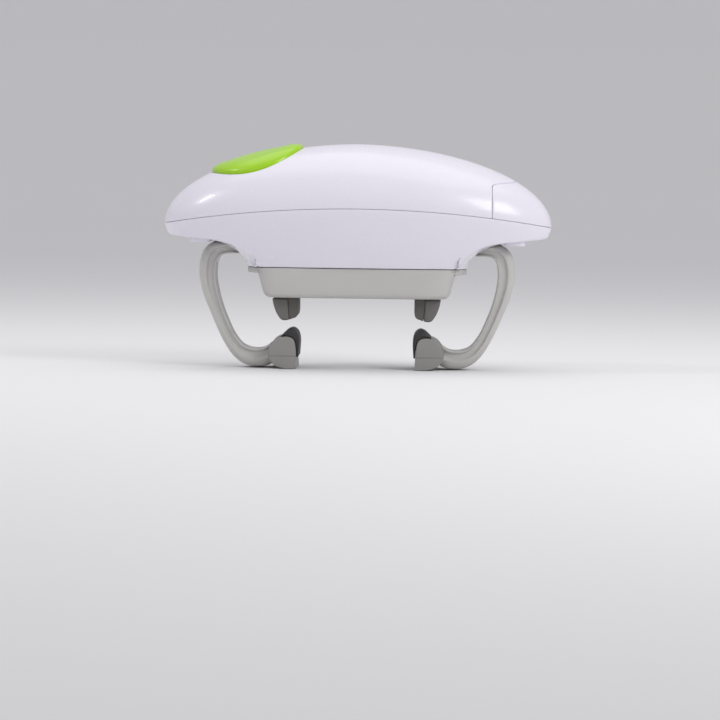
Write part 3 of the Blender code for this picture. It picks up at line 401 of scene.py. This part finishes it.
def buildUpperShell():
    ends = {}

    def place(u, v):
        key = round(v, 5)
        if key not in ends:
            ends[key] = seamOnDome(math.pi * v, -gap / 2)
        start = -housing["halfLength"]
        x = start + (ends[key] - start) * (1.0 - math.cos(u * math.pi / 2))
        return domePoint(x, math.pi * v)

    bm = gridOf(170, 84, place)
    faceOut(bm, (0.0, 0.0, housing["tip"]))
    bm = withWall(bm, housing["wall"])
    hole = bmesh.new()
    bmesh.ops.create_cone(hole, cap_ends=True, segments=144, radius1=1.0, radius2=1.0, depth=36.0)
    bmesh.ops.scale(hole, vec=(button["long"] + button["clear"], button["wide"] + button["clear"], 1.0),
                    verts=hole.verts)
    bmesh.ops.transform(hole, matrix=buttonFrame, verts=hole.verts)
    bm = carved(bm, [hole])
    bmesh.ops.remove_doubles(bm, verts=bm.verts, dist=0.12)
    roundEdges(bm, housing["edge"], segments=2, sharperThan=40.0)
    piece("upperShell", bm, "glossWhiteAbs", "housing", ["upper_shell"])


def buildBatteryCover():
    starts = {}

    def place(u, v):
        key = round(v, 5)
        if key not in starts:
            starts[key] = seamOnDome(math.pi * v, gap / 2)
        end = housing["halfLength"]
        x = end - (end - starts[key]) * (1.0 - math.cos((1.0 - u) * math.pi / 2))
        return domePoint(x, math.pi * v)

    bm = gridOf(40, 84, place)
    faceOut(bm, (0.0, 0.0, housing["tip"]))
    bm = withWall(bm, housing["wall"])
    roundEdges(bm, housing["edge"], segments=2, sharperThan=40.0)
    piece("batteryCover", bm, "glossWhiteAbs", "battery_cover", ["battery_cover"])


plateLow, plateHigh = boxOf("carriage_plate")
sweep = plateHigh.x
under = {"neck": sweep + 0.1, "wall": 2.2, "crease": 0.7, "tipRound": 2.1, "tipFrom": 88.0,
         "tipOver": 22.0, "inwards": 24.0, "bush": 8.1,
         "arch": ((0.0, 61.4), (0.02, 64.8), (0.08, 68.2), (0.175, 71.8), (0.31, 75.3), (0.48, 77.4),
                  (0.71, 78.6), (0.875, 79.6), (0.95, 80.0), (1.01, 80.6)),
         "bossRadius": 3.6, "bossLong": 6.3, "bossZ": 75.7, "headRadius": 3.1, "headDepth": 2.6,
         "wallRows": 14, "roundRows": 5, "archRows": 14}
_, armHigh = boxOf("arm_right")
slot = {"inner": under["neck"] - 14.0, "outer": armHigh.x - 1.4, "half": armHigh.y + 0.6, "low": 65.6,
        "high": 79.4}
archCurve = smoothCurve([((under["neck"] + (housing["halfLength"] - under["neck"]) * share), z)
                         for share, z in under["arch"]], 4)


def archZ(radius):
    # height of the arched underside at a distance from the turning axis
    if radius <= archCurve[0].x:
        return housing["neck"]
    for near, far in zip(archCurve, archCurve[1:]):
        if near.x <= radius <= far.x:
            return near.lerp(far, (radius - near.x) / max(far.x - near.x, 1e-6)).y
    return archCurve[-1].y


def wallPoint(u, v):
    # v runs down from the parting line to the neck, u once round the plan
    angle = math.tau * u
    power = 2.0 / housing["planPower"]
    c, s = math.cos(angle), math.sin(angle)
    x = housing["halfLength"] * math.copysign(abs(c) ** power, c)
    y = housing["halfWidth"] * math.copysign(abs(s) ** power, s)
    lean = housing["lean"] * v ** 1.25
    z = (partingZ(x) - gap / 2) * (1.0 - v) + housing["neck"] * v
    return Vector((x * (1.0 - lean / housing["halfLength"]), y * (1.0 - lean / housing["halfWidth"]), z))


def walk(line, distance):
    # the point at a distance along a line
    for near, far in zip(line, line[1:]):
        step = (far - near).length
        if distance <= step:
            return near.lerp(far, distance / max(step, 1e-6))
        distance -= step
    return line[-1].copy()


def wallFoot(u):
    # how far down the wall meets the arch
    low, high = 0.0, 1.0
    for _ in range(24):
        middle = (low + high) / 2
        point = wallPoint(u, middle)
        if point.z > archZ(point.xy.length):
            low = middle
        else:
            high = middle
    return low


def creaseRadius(x):
    # the crease is crisp along the sides and softer at the tips
    share = min(max((abs(x) - under["tipFrom"]) / under["tipOver"], 0.0), 1.0)
    return under["crease"] + (under["tipRound"] - under["crease"]) * share * share * (3.0 - 2.0 * share)


def underPath(u):
    # one column of the lower shell: down the wall, round the crease, in along the arch and over the neck
    foot = wallFoot(u)
    corner = wallPoint(u, foot)
    reach = corner.xy.length
    footWay = corner.xy / reach
    topWay = wallPoint(u, 0.0).xy.normalized()
    way = [Vector((reach, corner.z))]
    way += [point for point in reversed(archCurve) if under["neck"] < point.x < reach - 0.2]
    if reach > under["neck"]:
        way.append(Vector((under["neck"], housing["neck"])))
    archLength = sum((far - near).length for near, far in zip(way, way[1:]))
    way.append(Vector((under["bush"], housing["neck"])))
    radius = creaseRadius(corner.x)
    height = (wallPoint(u, 0.0) - corner).length
    last = foot * max(1.0 - radius / height, 0.4)
    wall = [wallPoint(u, last * i / under["wallRows"]) for i in range(under["wallRows"])]

    def inside(spot):
        share = (spot.x - under["bush"]) / (reach - under["bush"])
        return Vector((*(topWay.lerp(footWay, share).normalized() * spot.x), spot.y))

    start, end = wallPoint(u, last), inside(walk(way, radius))
    rounded = []
    for i in range(under["roundRows"] + 1):
        t = i / under["roundRows"]
        rounded.append(start * (1.0 - t) ** 2 + corner * (2.0 * t * (1.0 - t)) + end * t * t)
    span, rows = max(archLength - radius, 1.0), under["archRows"]
    arch = [inside(walk(way, radius + span * i / rows)) for i in range(1, rows + 1)]
    stop = walk(way, radius + span).x
    flat = [inside(Vector((r, housing["neck"]))) for r in (stop - 0.02, under["inwards"], under["bush"])]
    return [*wall, *rounded, *arch, *flat]


def bossSpots():
    screws = [boxOf(f"shell_screw_{i}") for i in (1, 2, 3, 4)]
    return [((low.x + high.x) / 2, (low.y + high.y) / 2) for low, high in screws]


def bossShape(spot):
    # an oblong screw boss with a rounded foot
    r, low, outline = under["bossRadius"], under["bossZ"], []
    for i in range(48):
        c, s = math.cos(math.tau * (i + 0.5) / 48), math.sin(math.tau * (i + 0.5) / 48)
        outline.append((spot[0] + math.copysign(under["bossLong"] - r, c) + r * c, spot[1] + r * s))
    bm = slabOf(outline, low, low + 5.2, "Z")
    roundEdges(bm, 0.7, segments=4, sharperThan=50.0,
               chosen=lambda edge: all(vert.co.z < low + 0.01 for vert in edge.verts))
    return bm


def buildLowerShell():
    columns = {}
    rows = under["wallRows"] + under["roundRows"] + under["archRows"] + 3

    def place(u, v):
        key = round(u % 1.0, 5)
        if key not in columns:
            columns[key] = underPath(key)
        return columns[key][min(round(v * rows), rows)]

    bm = gridOf(360, rows, place)
    faceOut(bm, (0.0, 0.0, housing["tip"] + 10.0))
    bm = withWall(bm, under["wall"])
    roundEdges(bm, housing["edge"], segments=2, sharperThan=60.0,
               chosen=lambda edge: all(vert.co.z > housing["tip"] - 2.0 for vert in edge.verts))
    # the exact solver gives this thin open bowl back inside out, so both steps use the manifold one
    bm = carved(bm, [bossShape(spot) for spot in bossSpots()], "UNION", "MANIFOLD")
    cutters = []
    r, low, seat = under["headRadius"], under["bossZ"], under["bossZ"] + under["headDepth"]
    bore = ((0.0, low - 1.0), (r, low - 1.0), (r, seat), (1.6, seat), (1.6, low + 6.0), (0.0, low + 6.0))
    for spot in bossSpots():
        cutters.append(turnedOf(bore, spot, 32))
    for side, _ in sides:
        reach = sorted((side * slot["inner"], side * slot["outer"]))
        outline = [(reach[0], -slot["half"]), (reach[1], -slot["half"]), (reach[1], slot["half"]),
                   (reach[0], slot["half"])]
        cutters.append(slabOf(outline, slot["low"], slot["high"], "Z"))
    bm = carved(bm, cutters, "DIFFERENCE", "MANIFOLD")
    piece("lowerShell", bm, "glossWhiteAbs", "housing", ["lower_shell"])


buildUpperShell()
buildBatteryCover()
buildLowerShell()
print("housing made")


# button

def onDome(p, q):
    # height along the button's normal where the line through (p, q) meets the dome
    h = 0.0
    for _ in range(24):
        point = buttonFrame @ Vector((p, q, h))
        h -= 0.8 * (point.z - domeZ(point.x, point.y))
    return h


def buildButton():
    proud, dish = button["proud"], button["dishDepth"]
    inner = 1.0 - button["wall"] / button["long"]
    flat = button["dishShare"]
    top = smoothCurve(((0.0, proud - dish), (flat - 0.1, proud - dish), (flat, proud - dish + 0.06),
                       (flat + 0.06, proud - 0.04), (0.8, proud - 0.1), (0.88, proud - 0.35),
                       (0.94, proud - 0.85), (0.98, proud - 1.6), (0.997, button["edge"] + 0.2),
                       (1.0, button["edge"] - 0.8)), 5)
    ceiling, skirt = button["ceiling"], -button["skirt"]
    path = [*top, Vector((1.0, skirt * 0.5)), Vector((1.0, skirt)), Vector((inner, skirt)),
            Vector((inner, ceiling)), Vector((inner * 0.6, ceiling)), Vector((0.0, ceiling))]
    rows = len(path) - 1
    heights = {}

    def place(u, v):
        share, rise = path[min(round(u * rows), rows)]
        angle = math.tau * v
        p, q = button["long"] * share * math.cos(angle), button["wide"] * share * math.sin(angle)
        key = (round(share, 4), round(v, 5))
        if key not in heights:
            heights[key] = onDome(p, q)
        return buttonFrame @ Vector((p, q, heights[key] + rise))

    bm = gridOf(rows, 144, place)
    faceOut(bm, (buttonFrame @ Vector((0.0, 0.0, -1.0))))
    piece("buttonCap", bm, "limeGreenAbs", "button", ["button_cap"], 50.0)


buildButton()
print("button made")


# arms, jar shoes and pads

shoeLow, shoeHigh = boxOf("jar_shoe_right")
padLow, padHigh = boxOf("jar_pad_right")
arm = {"out": armHigh.x, "half": armHigh.y,
       # both edges of the side outline, as how far in from the outer face and how high
       "inner": ((41.0, 69.0), (26.0, 69.0), (18.0, 68.9), (13.6, 67.7), (11.4, 64.5), (10.6, 60.0),
                 (10.6, 53.5), (12.0, 45.5), (14.4, 37.0), (17.8, 28.5), (21.4, 20.9), (26.2, 14.5),
                 (31.0, 12.0), (36.0, 11.4), (40.5, 12.3), (44.4, 14.9), (48.2, 17.2)),
       "outer": ((41.0, 77.0), (24.0, 77.0), (12.0, 76.9), (6.0, 74.4), (2.2, 69.9), (0.3, 62.5),
                 (0.3, 54.0), (2.9, 43.5), (6.8, 34.0), (11.2, 23.8), (15.9, 14.5), (21.0, 7.2),
                 (27.0, 2.4), (33.5, 0.5), (39.5, 0.5), (44.0, 1.9), (47.5, 4.2)),
       # half section from the inner face to the outer: share of the depth, share of the half width
       "section": ((0.0, 0.0), (0.0, 0.5), (0.0, 0.88), (0.015, 0.95), (0.05, 0.975), (0.09, 0.97),
                   (0.12, 0.93), (0.16, 0.86), (0.25, 0.84), (0.38, 0.84), (0.46, 0.88), (0.52, 0.96),
                   (0.56, 0.995), (0.6, 1.0), (0.68, 0.985), (0.78, 0.94), (0.87, 0.87), (0.94, 0.77),
                   (0.98, 0.62), (1.0, 0.4), (1.0, 0.0))}
shoe = {"inner": shoeLow.x, "top": shoeHigh.z, "half": shoeHigh.y, "depth": shoeHigh.x - shoeLow.x,
        "lineZ": 7.6, "lineDepth": 0.3, "round": 0.6}
pad = {"inner": padLow.x, "top": padHigh.z, "half": padHigh.y, "low": padLow.z}


def shoeOutline(grow=0.0):
    inner, top, depth = shoe["inner"], shoe["top"], shoe["depth"]
    key = ((inner + 7.0, 0.0), (inner + 12.0, 1.4), (inner + 15.6, 4.0), (inner + depth, 9.0),
           (inner + 16.2, 14.4), (inner + 12.4, top - 1.2), (inner + 7.6, top), (inner + 3.6, top - 0.6),
           (inner + 1.5, top - 3.0), (inner + 0.6, top - 8.0))
    line = [*smoothCurve(key, 5), Vector((inner, 0.6)), Vector((inner + 0.8, 0.0))]
    if grow:
        line = offsetLine([line[-1], *line, line[0]], -grow)[1:-1]
    return [(p.x, p.y) for p in line]


def mirrorTo(side, bm):
    if side < 0:
        bmesh.ops.scale(bm, vec=(-1.0, 1.0, 1.0), verts=bm.verts)
        bmesh.ops.reverse_faces(bm, faces=bm.faces)
    return bm


def buildArm(side, name):
    inner = smoothCurve(arm["inner"], 8)
    outer = smoothCurve(arm["outer"], 8)
    half = arm["section"]
    whole = smoothCurve([*half, *[(a, -y) for a, y in half[-2::-1]]], 3)

    def place(u, v):
        near, far = pointAt(inner, u), pointAt(outer, u)
        a, y = pointAt(whole, v)
        spot = near.lerp(far, min(max(a, 0.0), 1.0))
        return Vector((arm["out"] - spot.x, y * arm["half"], spot.y))

    bm = gridOf(130, len(whole) - 1, place)
    closeHoles(bm)
    bmesh.ops.recalc_face_normals(bm, faces=bm.faces)
    bm = carved(bm, [slabOf(shoeOutline(0.2), -arm["half"] - 5.0, arm["half"] + 5.0)])
    mirrorTo(side, bm)
    body = "arm_" + name.lower()
    piece("arm" + name, bm, "satinGreyAbs", body, [body], 55.0)


def buildShoe(side, name):
    bm = slabOf(shoeOutline(), -shoe["half"], shoe["half"])
    roundEdges(bm, shoe["round"], segments=5, sharperThan=60.0,
               chosen=lambda edge: onEnd(edge, shoe["half"]))
    level = shoe["lineZ"]
    for z in (level - 0.3, level, level + 0.3):
        bmesh.ops.bisect_plane(bm, geom=bm.verts[:] + bm.edges[:] + bm.faces[:], dist=0.0001,
                               plane_co=(0.0, 0.0, z), plane_no=(0.0, 0.0, 1.0))
    bm.normal_update()
    for vert in bm.verts:
        if abs(vert.co.z - level) < 0.001:
            sideways = Vector((vert.normal.x, vert.normal.y, 0.0))
            vert.co -= sideways.normalized() * shoe["lineDepth"]
    mirrorTo(side, bm)
    ending = name.lower()
    piece("jarShoe" + name, bm, "shoeGreyAbs", "arm_" + ending, ["jar_shoe_" + ending], 40.0)


def onEnd(edge, half):
    return all(abs(abs(vert.co.y) - half) < 0.01 for vert in edge.verts)


def buildPad(side, name):
    inner, top = pad["inner"], pad["top"]
    key = ((inner, 15.0), (inner + 0.3, 18.6), (inner + 1.6, 22.0), (inner + 4.4, top),
           (inner + 7.4, top - 0.9), (inner + 10.0, 20.6), (inner + 12.2, 18.2))
    line = [Vector((inner + 0.5, pad["low"])), *smoothCurve(key, 6), Vector((inner + 8.0, 12.0)),
            Vector((inner + 3.0, pad["low"]))]
    bm = slabOf([(p.x, p.y) for p in line], -pad["half"], pad["half"])
    bm = carved(bm, [slabOf(shoeOutline(0.15), -pad["half"] - 5.0, pad["half"] + 5.0)])
    roundEdges(bm, 0.6, segments=3, sharperThan=50.0, chosen=lambda edge: onEnd(edge, pad["half"]))
    mirrorTo(side, bm)
    ending = name.lower()
    piece("jarPad" + name, bm, "blackRubber", "arm_" + ending, ["jar_pad_" + ending], 50.0)


for side, name in sides:
    buildArm(side, name.capitalize())
    buildShoe(side, name.capitalize())
    buildPad(side, name.capitalize())
print("arms made")


# turning carriage and lid jaws

trayLow, trayHigh = boxOf("carriage_tray")
jawLow, jawHigh = boxOf("lid_jaw_right")
lidPadLow, lidPadHigh = boxOf("lid_pad_right")
tray = {"top": trayHigh.z, "bottom": trayLow.z, "long": trayHigh.x, "wide": trayHigh.y, "power": 8.0,
        # share of the height, then how far in from the end and from the side: floor, wall, rim and hollow
        "levels": ((0.0, 61.0, 29.5), (0.0, 20.0, 12.0), (0.0, 8.3, 6.8), (0.006, 7.1, 5.8),
                   (0.03, 5.9, 4.7), (0.08, 4.9, 3.9), (0.14, 4.2, 3.2), (0.3, 3.2, 2.4), (0.65, 1.6, 1.2),
                   (0.95, 0.2, 0.2), (0.985, 0.1, 0.1), (1.0, 0.5, 0.5), (1.0, 1.9, 1.9), (0.9, 2.0, 2.0),
                   (0.2, 5.5, 4.8)),
        "stem": (22.0, 54.0), "stemY": (4.0, 11.0), "screw": 3.1, "screwDepth": 2.4}
plate = {"low": plateLow.z, "high": plateHigh.z, "half": plateHigh.y, "radius": sweep, "edge": 0.5,
         "hole": 5.3}
jaw = {"out": jawHigh.x, "ridge": 41.5, "low": jawLow.z, "high": 42.6, "half": jawHigh.y,
       "stem": (38.0, 48.0, 4.6, 10.4), "head": (46.8, 53.6)}
lidPad = {"inner": lidPadLow.x, "half": lidPadHigh.y}


def trayPoint(along, across, angle, z):
    c, s = math.cos(angle), math.sin(angle)
    reach = (abs(c) ** tray["power"] + abs(s) ** tray["power"]) ** (-1.0 / tray["power"])
    return Vector(((tray["long"] - along) * reach * c, (tray["wide"] - across) * reach * s, z))


def plateOutline(grow=0.0, steps=40):
    half, radius = plate["half"] + grow, plate["radius"] + grow
    limit = math.asin(half / radius)
    right = [(radius * math.cos(a), radius * math.sin(a))
             for a in (limit * (2 * i / steps - 1) for i in range(steps + 1))]
    return [*right, *[(-x, -y) for x, y in right]]


def traySpots():
    screws = [boxOf(f"tray_screw_{i}") for i in (1, 2)]
    return [((low.x + high.x) / 2, (low.y + high.y) / 2) for low, high in screws]


def buildTray():
    levels = smoothCurve(tray["levels"], 3)
    rise = tray["top"] - tray["bottom"]

    def place(u, v):
        share, along, across = pointAt(levels, u)
        share = min(max(share, 0.0), 1.0)
        return trayPoint(min(along, tray["long"]), min(across, tray["wide"]), math.tau * v,
                         tray["bottom"] + rise * share)

    bm = gridOf(len(levels) - 1, 200, place)
    closeHoles(bm)
    bmesh.ops.recalc_face_normals(bm, faces=bm.faces)
    cutters = [slabOf(plateOutline(0.4), plate["low"] - 0.4, tray["top"] + 2.0, "Z")]
    for side, _ in sides:
        x = sorted(side * reach for reach in tray["stem"])
        y = sorted(side * reach for reach in tray["stemY"])
        outline = [(x[0], y[0]), (x[1], y[0]), (x[1], y[1]), (x[0], y[1])]
        cutters.append(slabOf(outline, tray["bottom"] - 1.0, tray["bottom"] + 6.0, "Z"))
    r, low, seat = tray["screw"], tray["bottom"] - 1.0, tray["bottom"] + tray["screwDepth"]
    for spot in traySpots():
        cutters.append(turnedOf(((0.0, low), (r, low), (r, seat), (0.0, seat)), spot, 32))
    bm = carved(bm, cutters)
    piece("carriageTray", bm, "satinGreyAbs", "carriage", ["carriage_tray"], 40.0)


def buildPlate():
    bm = slabOf(plateOutline(), plate["low"], plate["high"], "Z")
    roundEdges(bm, plate["edge"], segments=3, sharperThan=50.0)
    r, low, high = plate["hole"], plate["low"] - 1.0, plate["high"] + 1.0
    bm = carved(bm, [turnedOf(((0.0, low), (r, low), (r, high), (0.0, high)), steps=40)])
    piece("carriagePlate", bm, "satinGreyAbs", "carriage", ["carriage_plate"], 40.0)


def jawLine():
    low, high, out, ridge = jaw["low"], jaw["high"], jaw["out"], jaw["ridge"]
    key = ((out, high), (out - 1.0, high - 4.6), (out - 2.7, high - 9.0), (out - 4.8, low + 1.2),
           (out - 6.4, low + 0.1), (ridge + 1.2, low), (ridge - 1.0, low + 0.4))
    return key, ((ridge - 1.0, low + 0.4), (ridge - 0.4, high - 7.0), (ridge, high))


def buildLidJaw(side, name):
    outer, inner = jawLine()
    line = [*smoothCurve(outer, 5), *smoothCurve(inner, 4)[1:]]
    bm = slabOf([(p.x, p.y) for p in line], -jaw["half"], jaw["half"])
    roundEdges(bm, 1.4, segments=4, sharperThan=60.0, chosen=lambda edge: onEnd(edge, jaw["half"]))
    x0, x1, y0, y1 = jaw["stem"]
    low, high = jaw["head"]
    back = jaw["ridge"] + 0.4
    stem = slabOf([(back, y0), (x1, y0), (x1, y1), (back, y1)], jaw["high"] - 1.0, low + 0.5, "Z")
    head = slabOf([(x0, y0), (x1, y0), (x1, y1), (x0, y1)], low, high, "Z")
    bm = carved(bm, [stem, head], "UNION")
    if side < 0:
        bmesh.ops.rotate(bm, cent=(0, 0, 0), matrix=Matrix.Rotation(math.pi, 3, "Z"), verts=bm.verts)
    body = "lid_jaw_" + name.lower()
    piece("lidJaw" + name, bm, "darkGreyAbs", body, [body], 40.0)


def buildLidPad(side, name):
    _, inner = jawLine()
    back = [(p.x - 0.06, p.y) for p in smoothCurve(inner, 4)]
    low, x = jaw["low"], lidPad["inner"]
    toe = smoothCurve(((x, low + 7.0), (x + 0.1, low + 5.0), (x + 0.5, low + 3.2), (x + 1.7, low + 1.8),
                       (x + 3.4, low + 1.2), (jaw["ridge"] - 1.0 - gap, low + 0.5)), 4)
    line = [(x, jaw["high"]), *[(p.x, p.y) for p in toe[:-1]], *back]
    bm = slabOf(line, -lidPad["half"], lidPad["half"])
    roundEdges(bm, 0.3, segments=3, sharperThan=50.0)
    if side < 0:
        bmesh.ops.rotate(bm, cent=(0, 0, 0), matrix=Matrix.Rotation(math.pi, 3, "Z"), verts=bm.verts)
    ending = name.lower()
    piece("lidPad" + name, bm, "lidPadRubber", "lid_jaw_" + ending, ["lid_pad_" + ending], 50.0)


buildTray()
buildPlate()
for side, name in sides:
    buildLidJaw(side, name.capitalize())
    buildLidPad(side, name.capitalize())
print("carriage made")


# screws seen from below

def buildScrew(name, node, body):
    low, high = boxOf(node)
    x, y, r = (low.x + high.x) / 2, (low.y + high.y) / 2, (high.x - low.x) / 2
    head = turnedOf(((0.0, low.z), (r * 0.6, low.z + 0.1), (r * 0.9, low.z + 0.45), (r, low.z + 1.0),
                     (r, low.z + 1.7), (1.3, low.z + 1.7), (1.3, high.z - 1.0), (0.0, high.z)), (x, y), 40)
    bars = []
    for turn in (0.0, math.pi / 2):
        bar = slabOf([(-1.7, -0.4), (1.7, -0.4), (1.7, 0.4), (-1.7, 0.4)], low.z - 1.0, low.z + 1.0, "Z")
        bmesh.ops.rotate(bar, cent=(0, 0, 0), matrix=Matrix.Rotation(turn, 3, "Z"), verts=bar.verts)
        bmesh.ops.translate(bar, vec=(x, y, 0.0), verts=bar.verts)
        bars.append(bar)
    bm = carved(head, bars)
    piece(name, bm, "zincPlatedSteel", body, [node], 40.0)


for i in (1, 2, 3, 4):
    buildScrew(f"shellScrew{i}", f"shell_screw_{i}", "housing")
for i in (1, 2):
    buildScrew(f"trayScrew{i}", f"tray_screw_{i}", "carriage")
print("screws made")


# the inner pieces keep their solids and get their own finishes
slots = {entry["node"]: entry["material_slot"] for entry in frame["record"]["subparts"]}
for node, obj in frame["nodes"].items():
    if not obj.hide_render:
        obj.data.materials.clear()
        obj.data.materials.append(finishes[slotFinish[slots[node]]])
print("inner pieces finished")


# floor, light and camera

studio = {"floor": "#ebebeb", "world": "#ecebf0", "worldStrength": 0.72,
          "sweep": ((0.0, 0.0), (2.6, 0.0), (3.0, 0.03), (3.4, 0.14), (3.7, 0.35), (3.9, 0.7), (3.95, 1.2))}


def buildFloor():
    # a round floor whose rim rises all round, so that no edge shows from any side
    bm = bmesh.new()
    verts = [bm.verts.new((r, 0.0, z - 0.0002)) for r, z in studio["sweep"]]
    edges = [bm.edges.new(pair) for pair in zip(verts, verts[1:])]
    bmesh.ops.spin(bm, geom=verts + edges, cent=(0, 0, 0), axis=(0, 0, 1), angle=math.tau, steps=96,
                   use_merge=True)
    bmesh.ops.remove_doubles(bm, verts=bm.verts, dist=0.0001)
    bmesh.ops.recalc_face_normals(bm, faces=bm.faces)
    floor = plainObject("floor", bm)
    floor.data.shade_smooth()
    material, tree, shader = newMaterial("matPaper", 0.9)
    shader.inputs["Base Color"].default_value = toLinear(studio["floor"])
    floor.data.materials.append(material)


def softBox(name, location, aim, size, power, colour="#ffffff"):
    data = bpy.data.lights.new(name, "AREA")
    data.shape = "RECTANGLE"
    data.size, data.size_y = size
    data.energy = power
    data.color = toLinear(colour)[:3]
    light = bpy.data.objects.new(name, data)
    light.location = location
    light.rotation_euler = (Vector(aim) - Vector(location)).to_track_quat("-Z", "Y").to_euler()
    bpy.context.scene.collection.objects.link(light)


def buildCamera():
    view = {"distance": 2.0, "turn": math.radians(1.0), "height": 0.12, "lens": 164.4,
            "aim": (0.0023, 0.0, 0.0048), "roll": math.radians(0.75)}
    data = bpy.data.cameras.new("camera")
    data.sensor_width = 36.0
    data.lens = view["lens"]
    camera = bpy.data.objects.new("camera", data)
    away = Vector((math.sin(view["turn"]), -math.cos(view["turn"]), 0.0)) * view["distance"]
    camera.location = (view["aim"][0] + away.x, away.y, view["height"])
    aim = (Vector(view["aim"]) - camera.location).to_track_quat("-Z", "Y")
    camera.rotation_euler = (aim @ Matrix.Rotation(view["roll"], 4, "Z").to_quaternion()).to_euler()
    bpy.context.scene.collection.objects.link(camera)
    bpy.context.scene.camera = camera


buildFloor()
softBox("keyLight", (0.9, -0.75, 0.7), (0.04, 0.0, 0.09), (0.6, 0.5), 5.2)
softBox("topLight", (0.05, 0.1, 1.0), (0.0, 0.0, 0.1), (1.2, 0.8), 2.8)
softBox("sideLight", (-0.82, -0.24, 0.75), (-0.09, -0.03, 0.1), (0.1, 0.24), 1.3)
world = bpy.data.worlds.new("studio")
world.use_nodes = True
world.node_tree.nodes["Background"].inputs["Color"].default_value = toLinear(studio["world"])
world.node_tree.nodes["Background"].inputs["Strength"].default_value = studio["worldStrength"]
bpy.context.scene.world = world
bpy.context.scene.view_settings.view_transform = "Standard"
buildCamera()

print("scene ready")
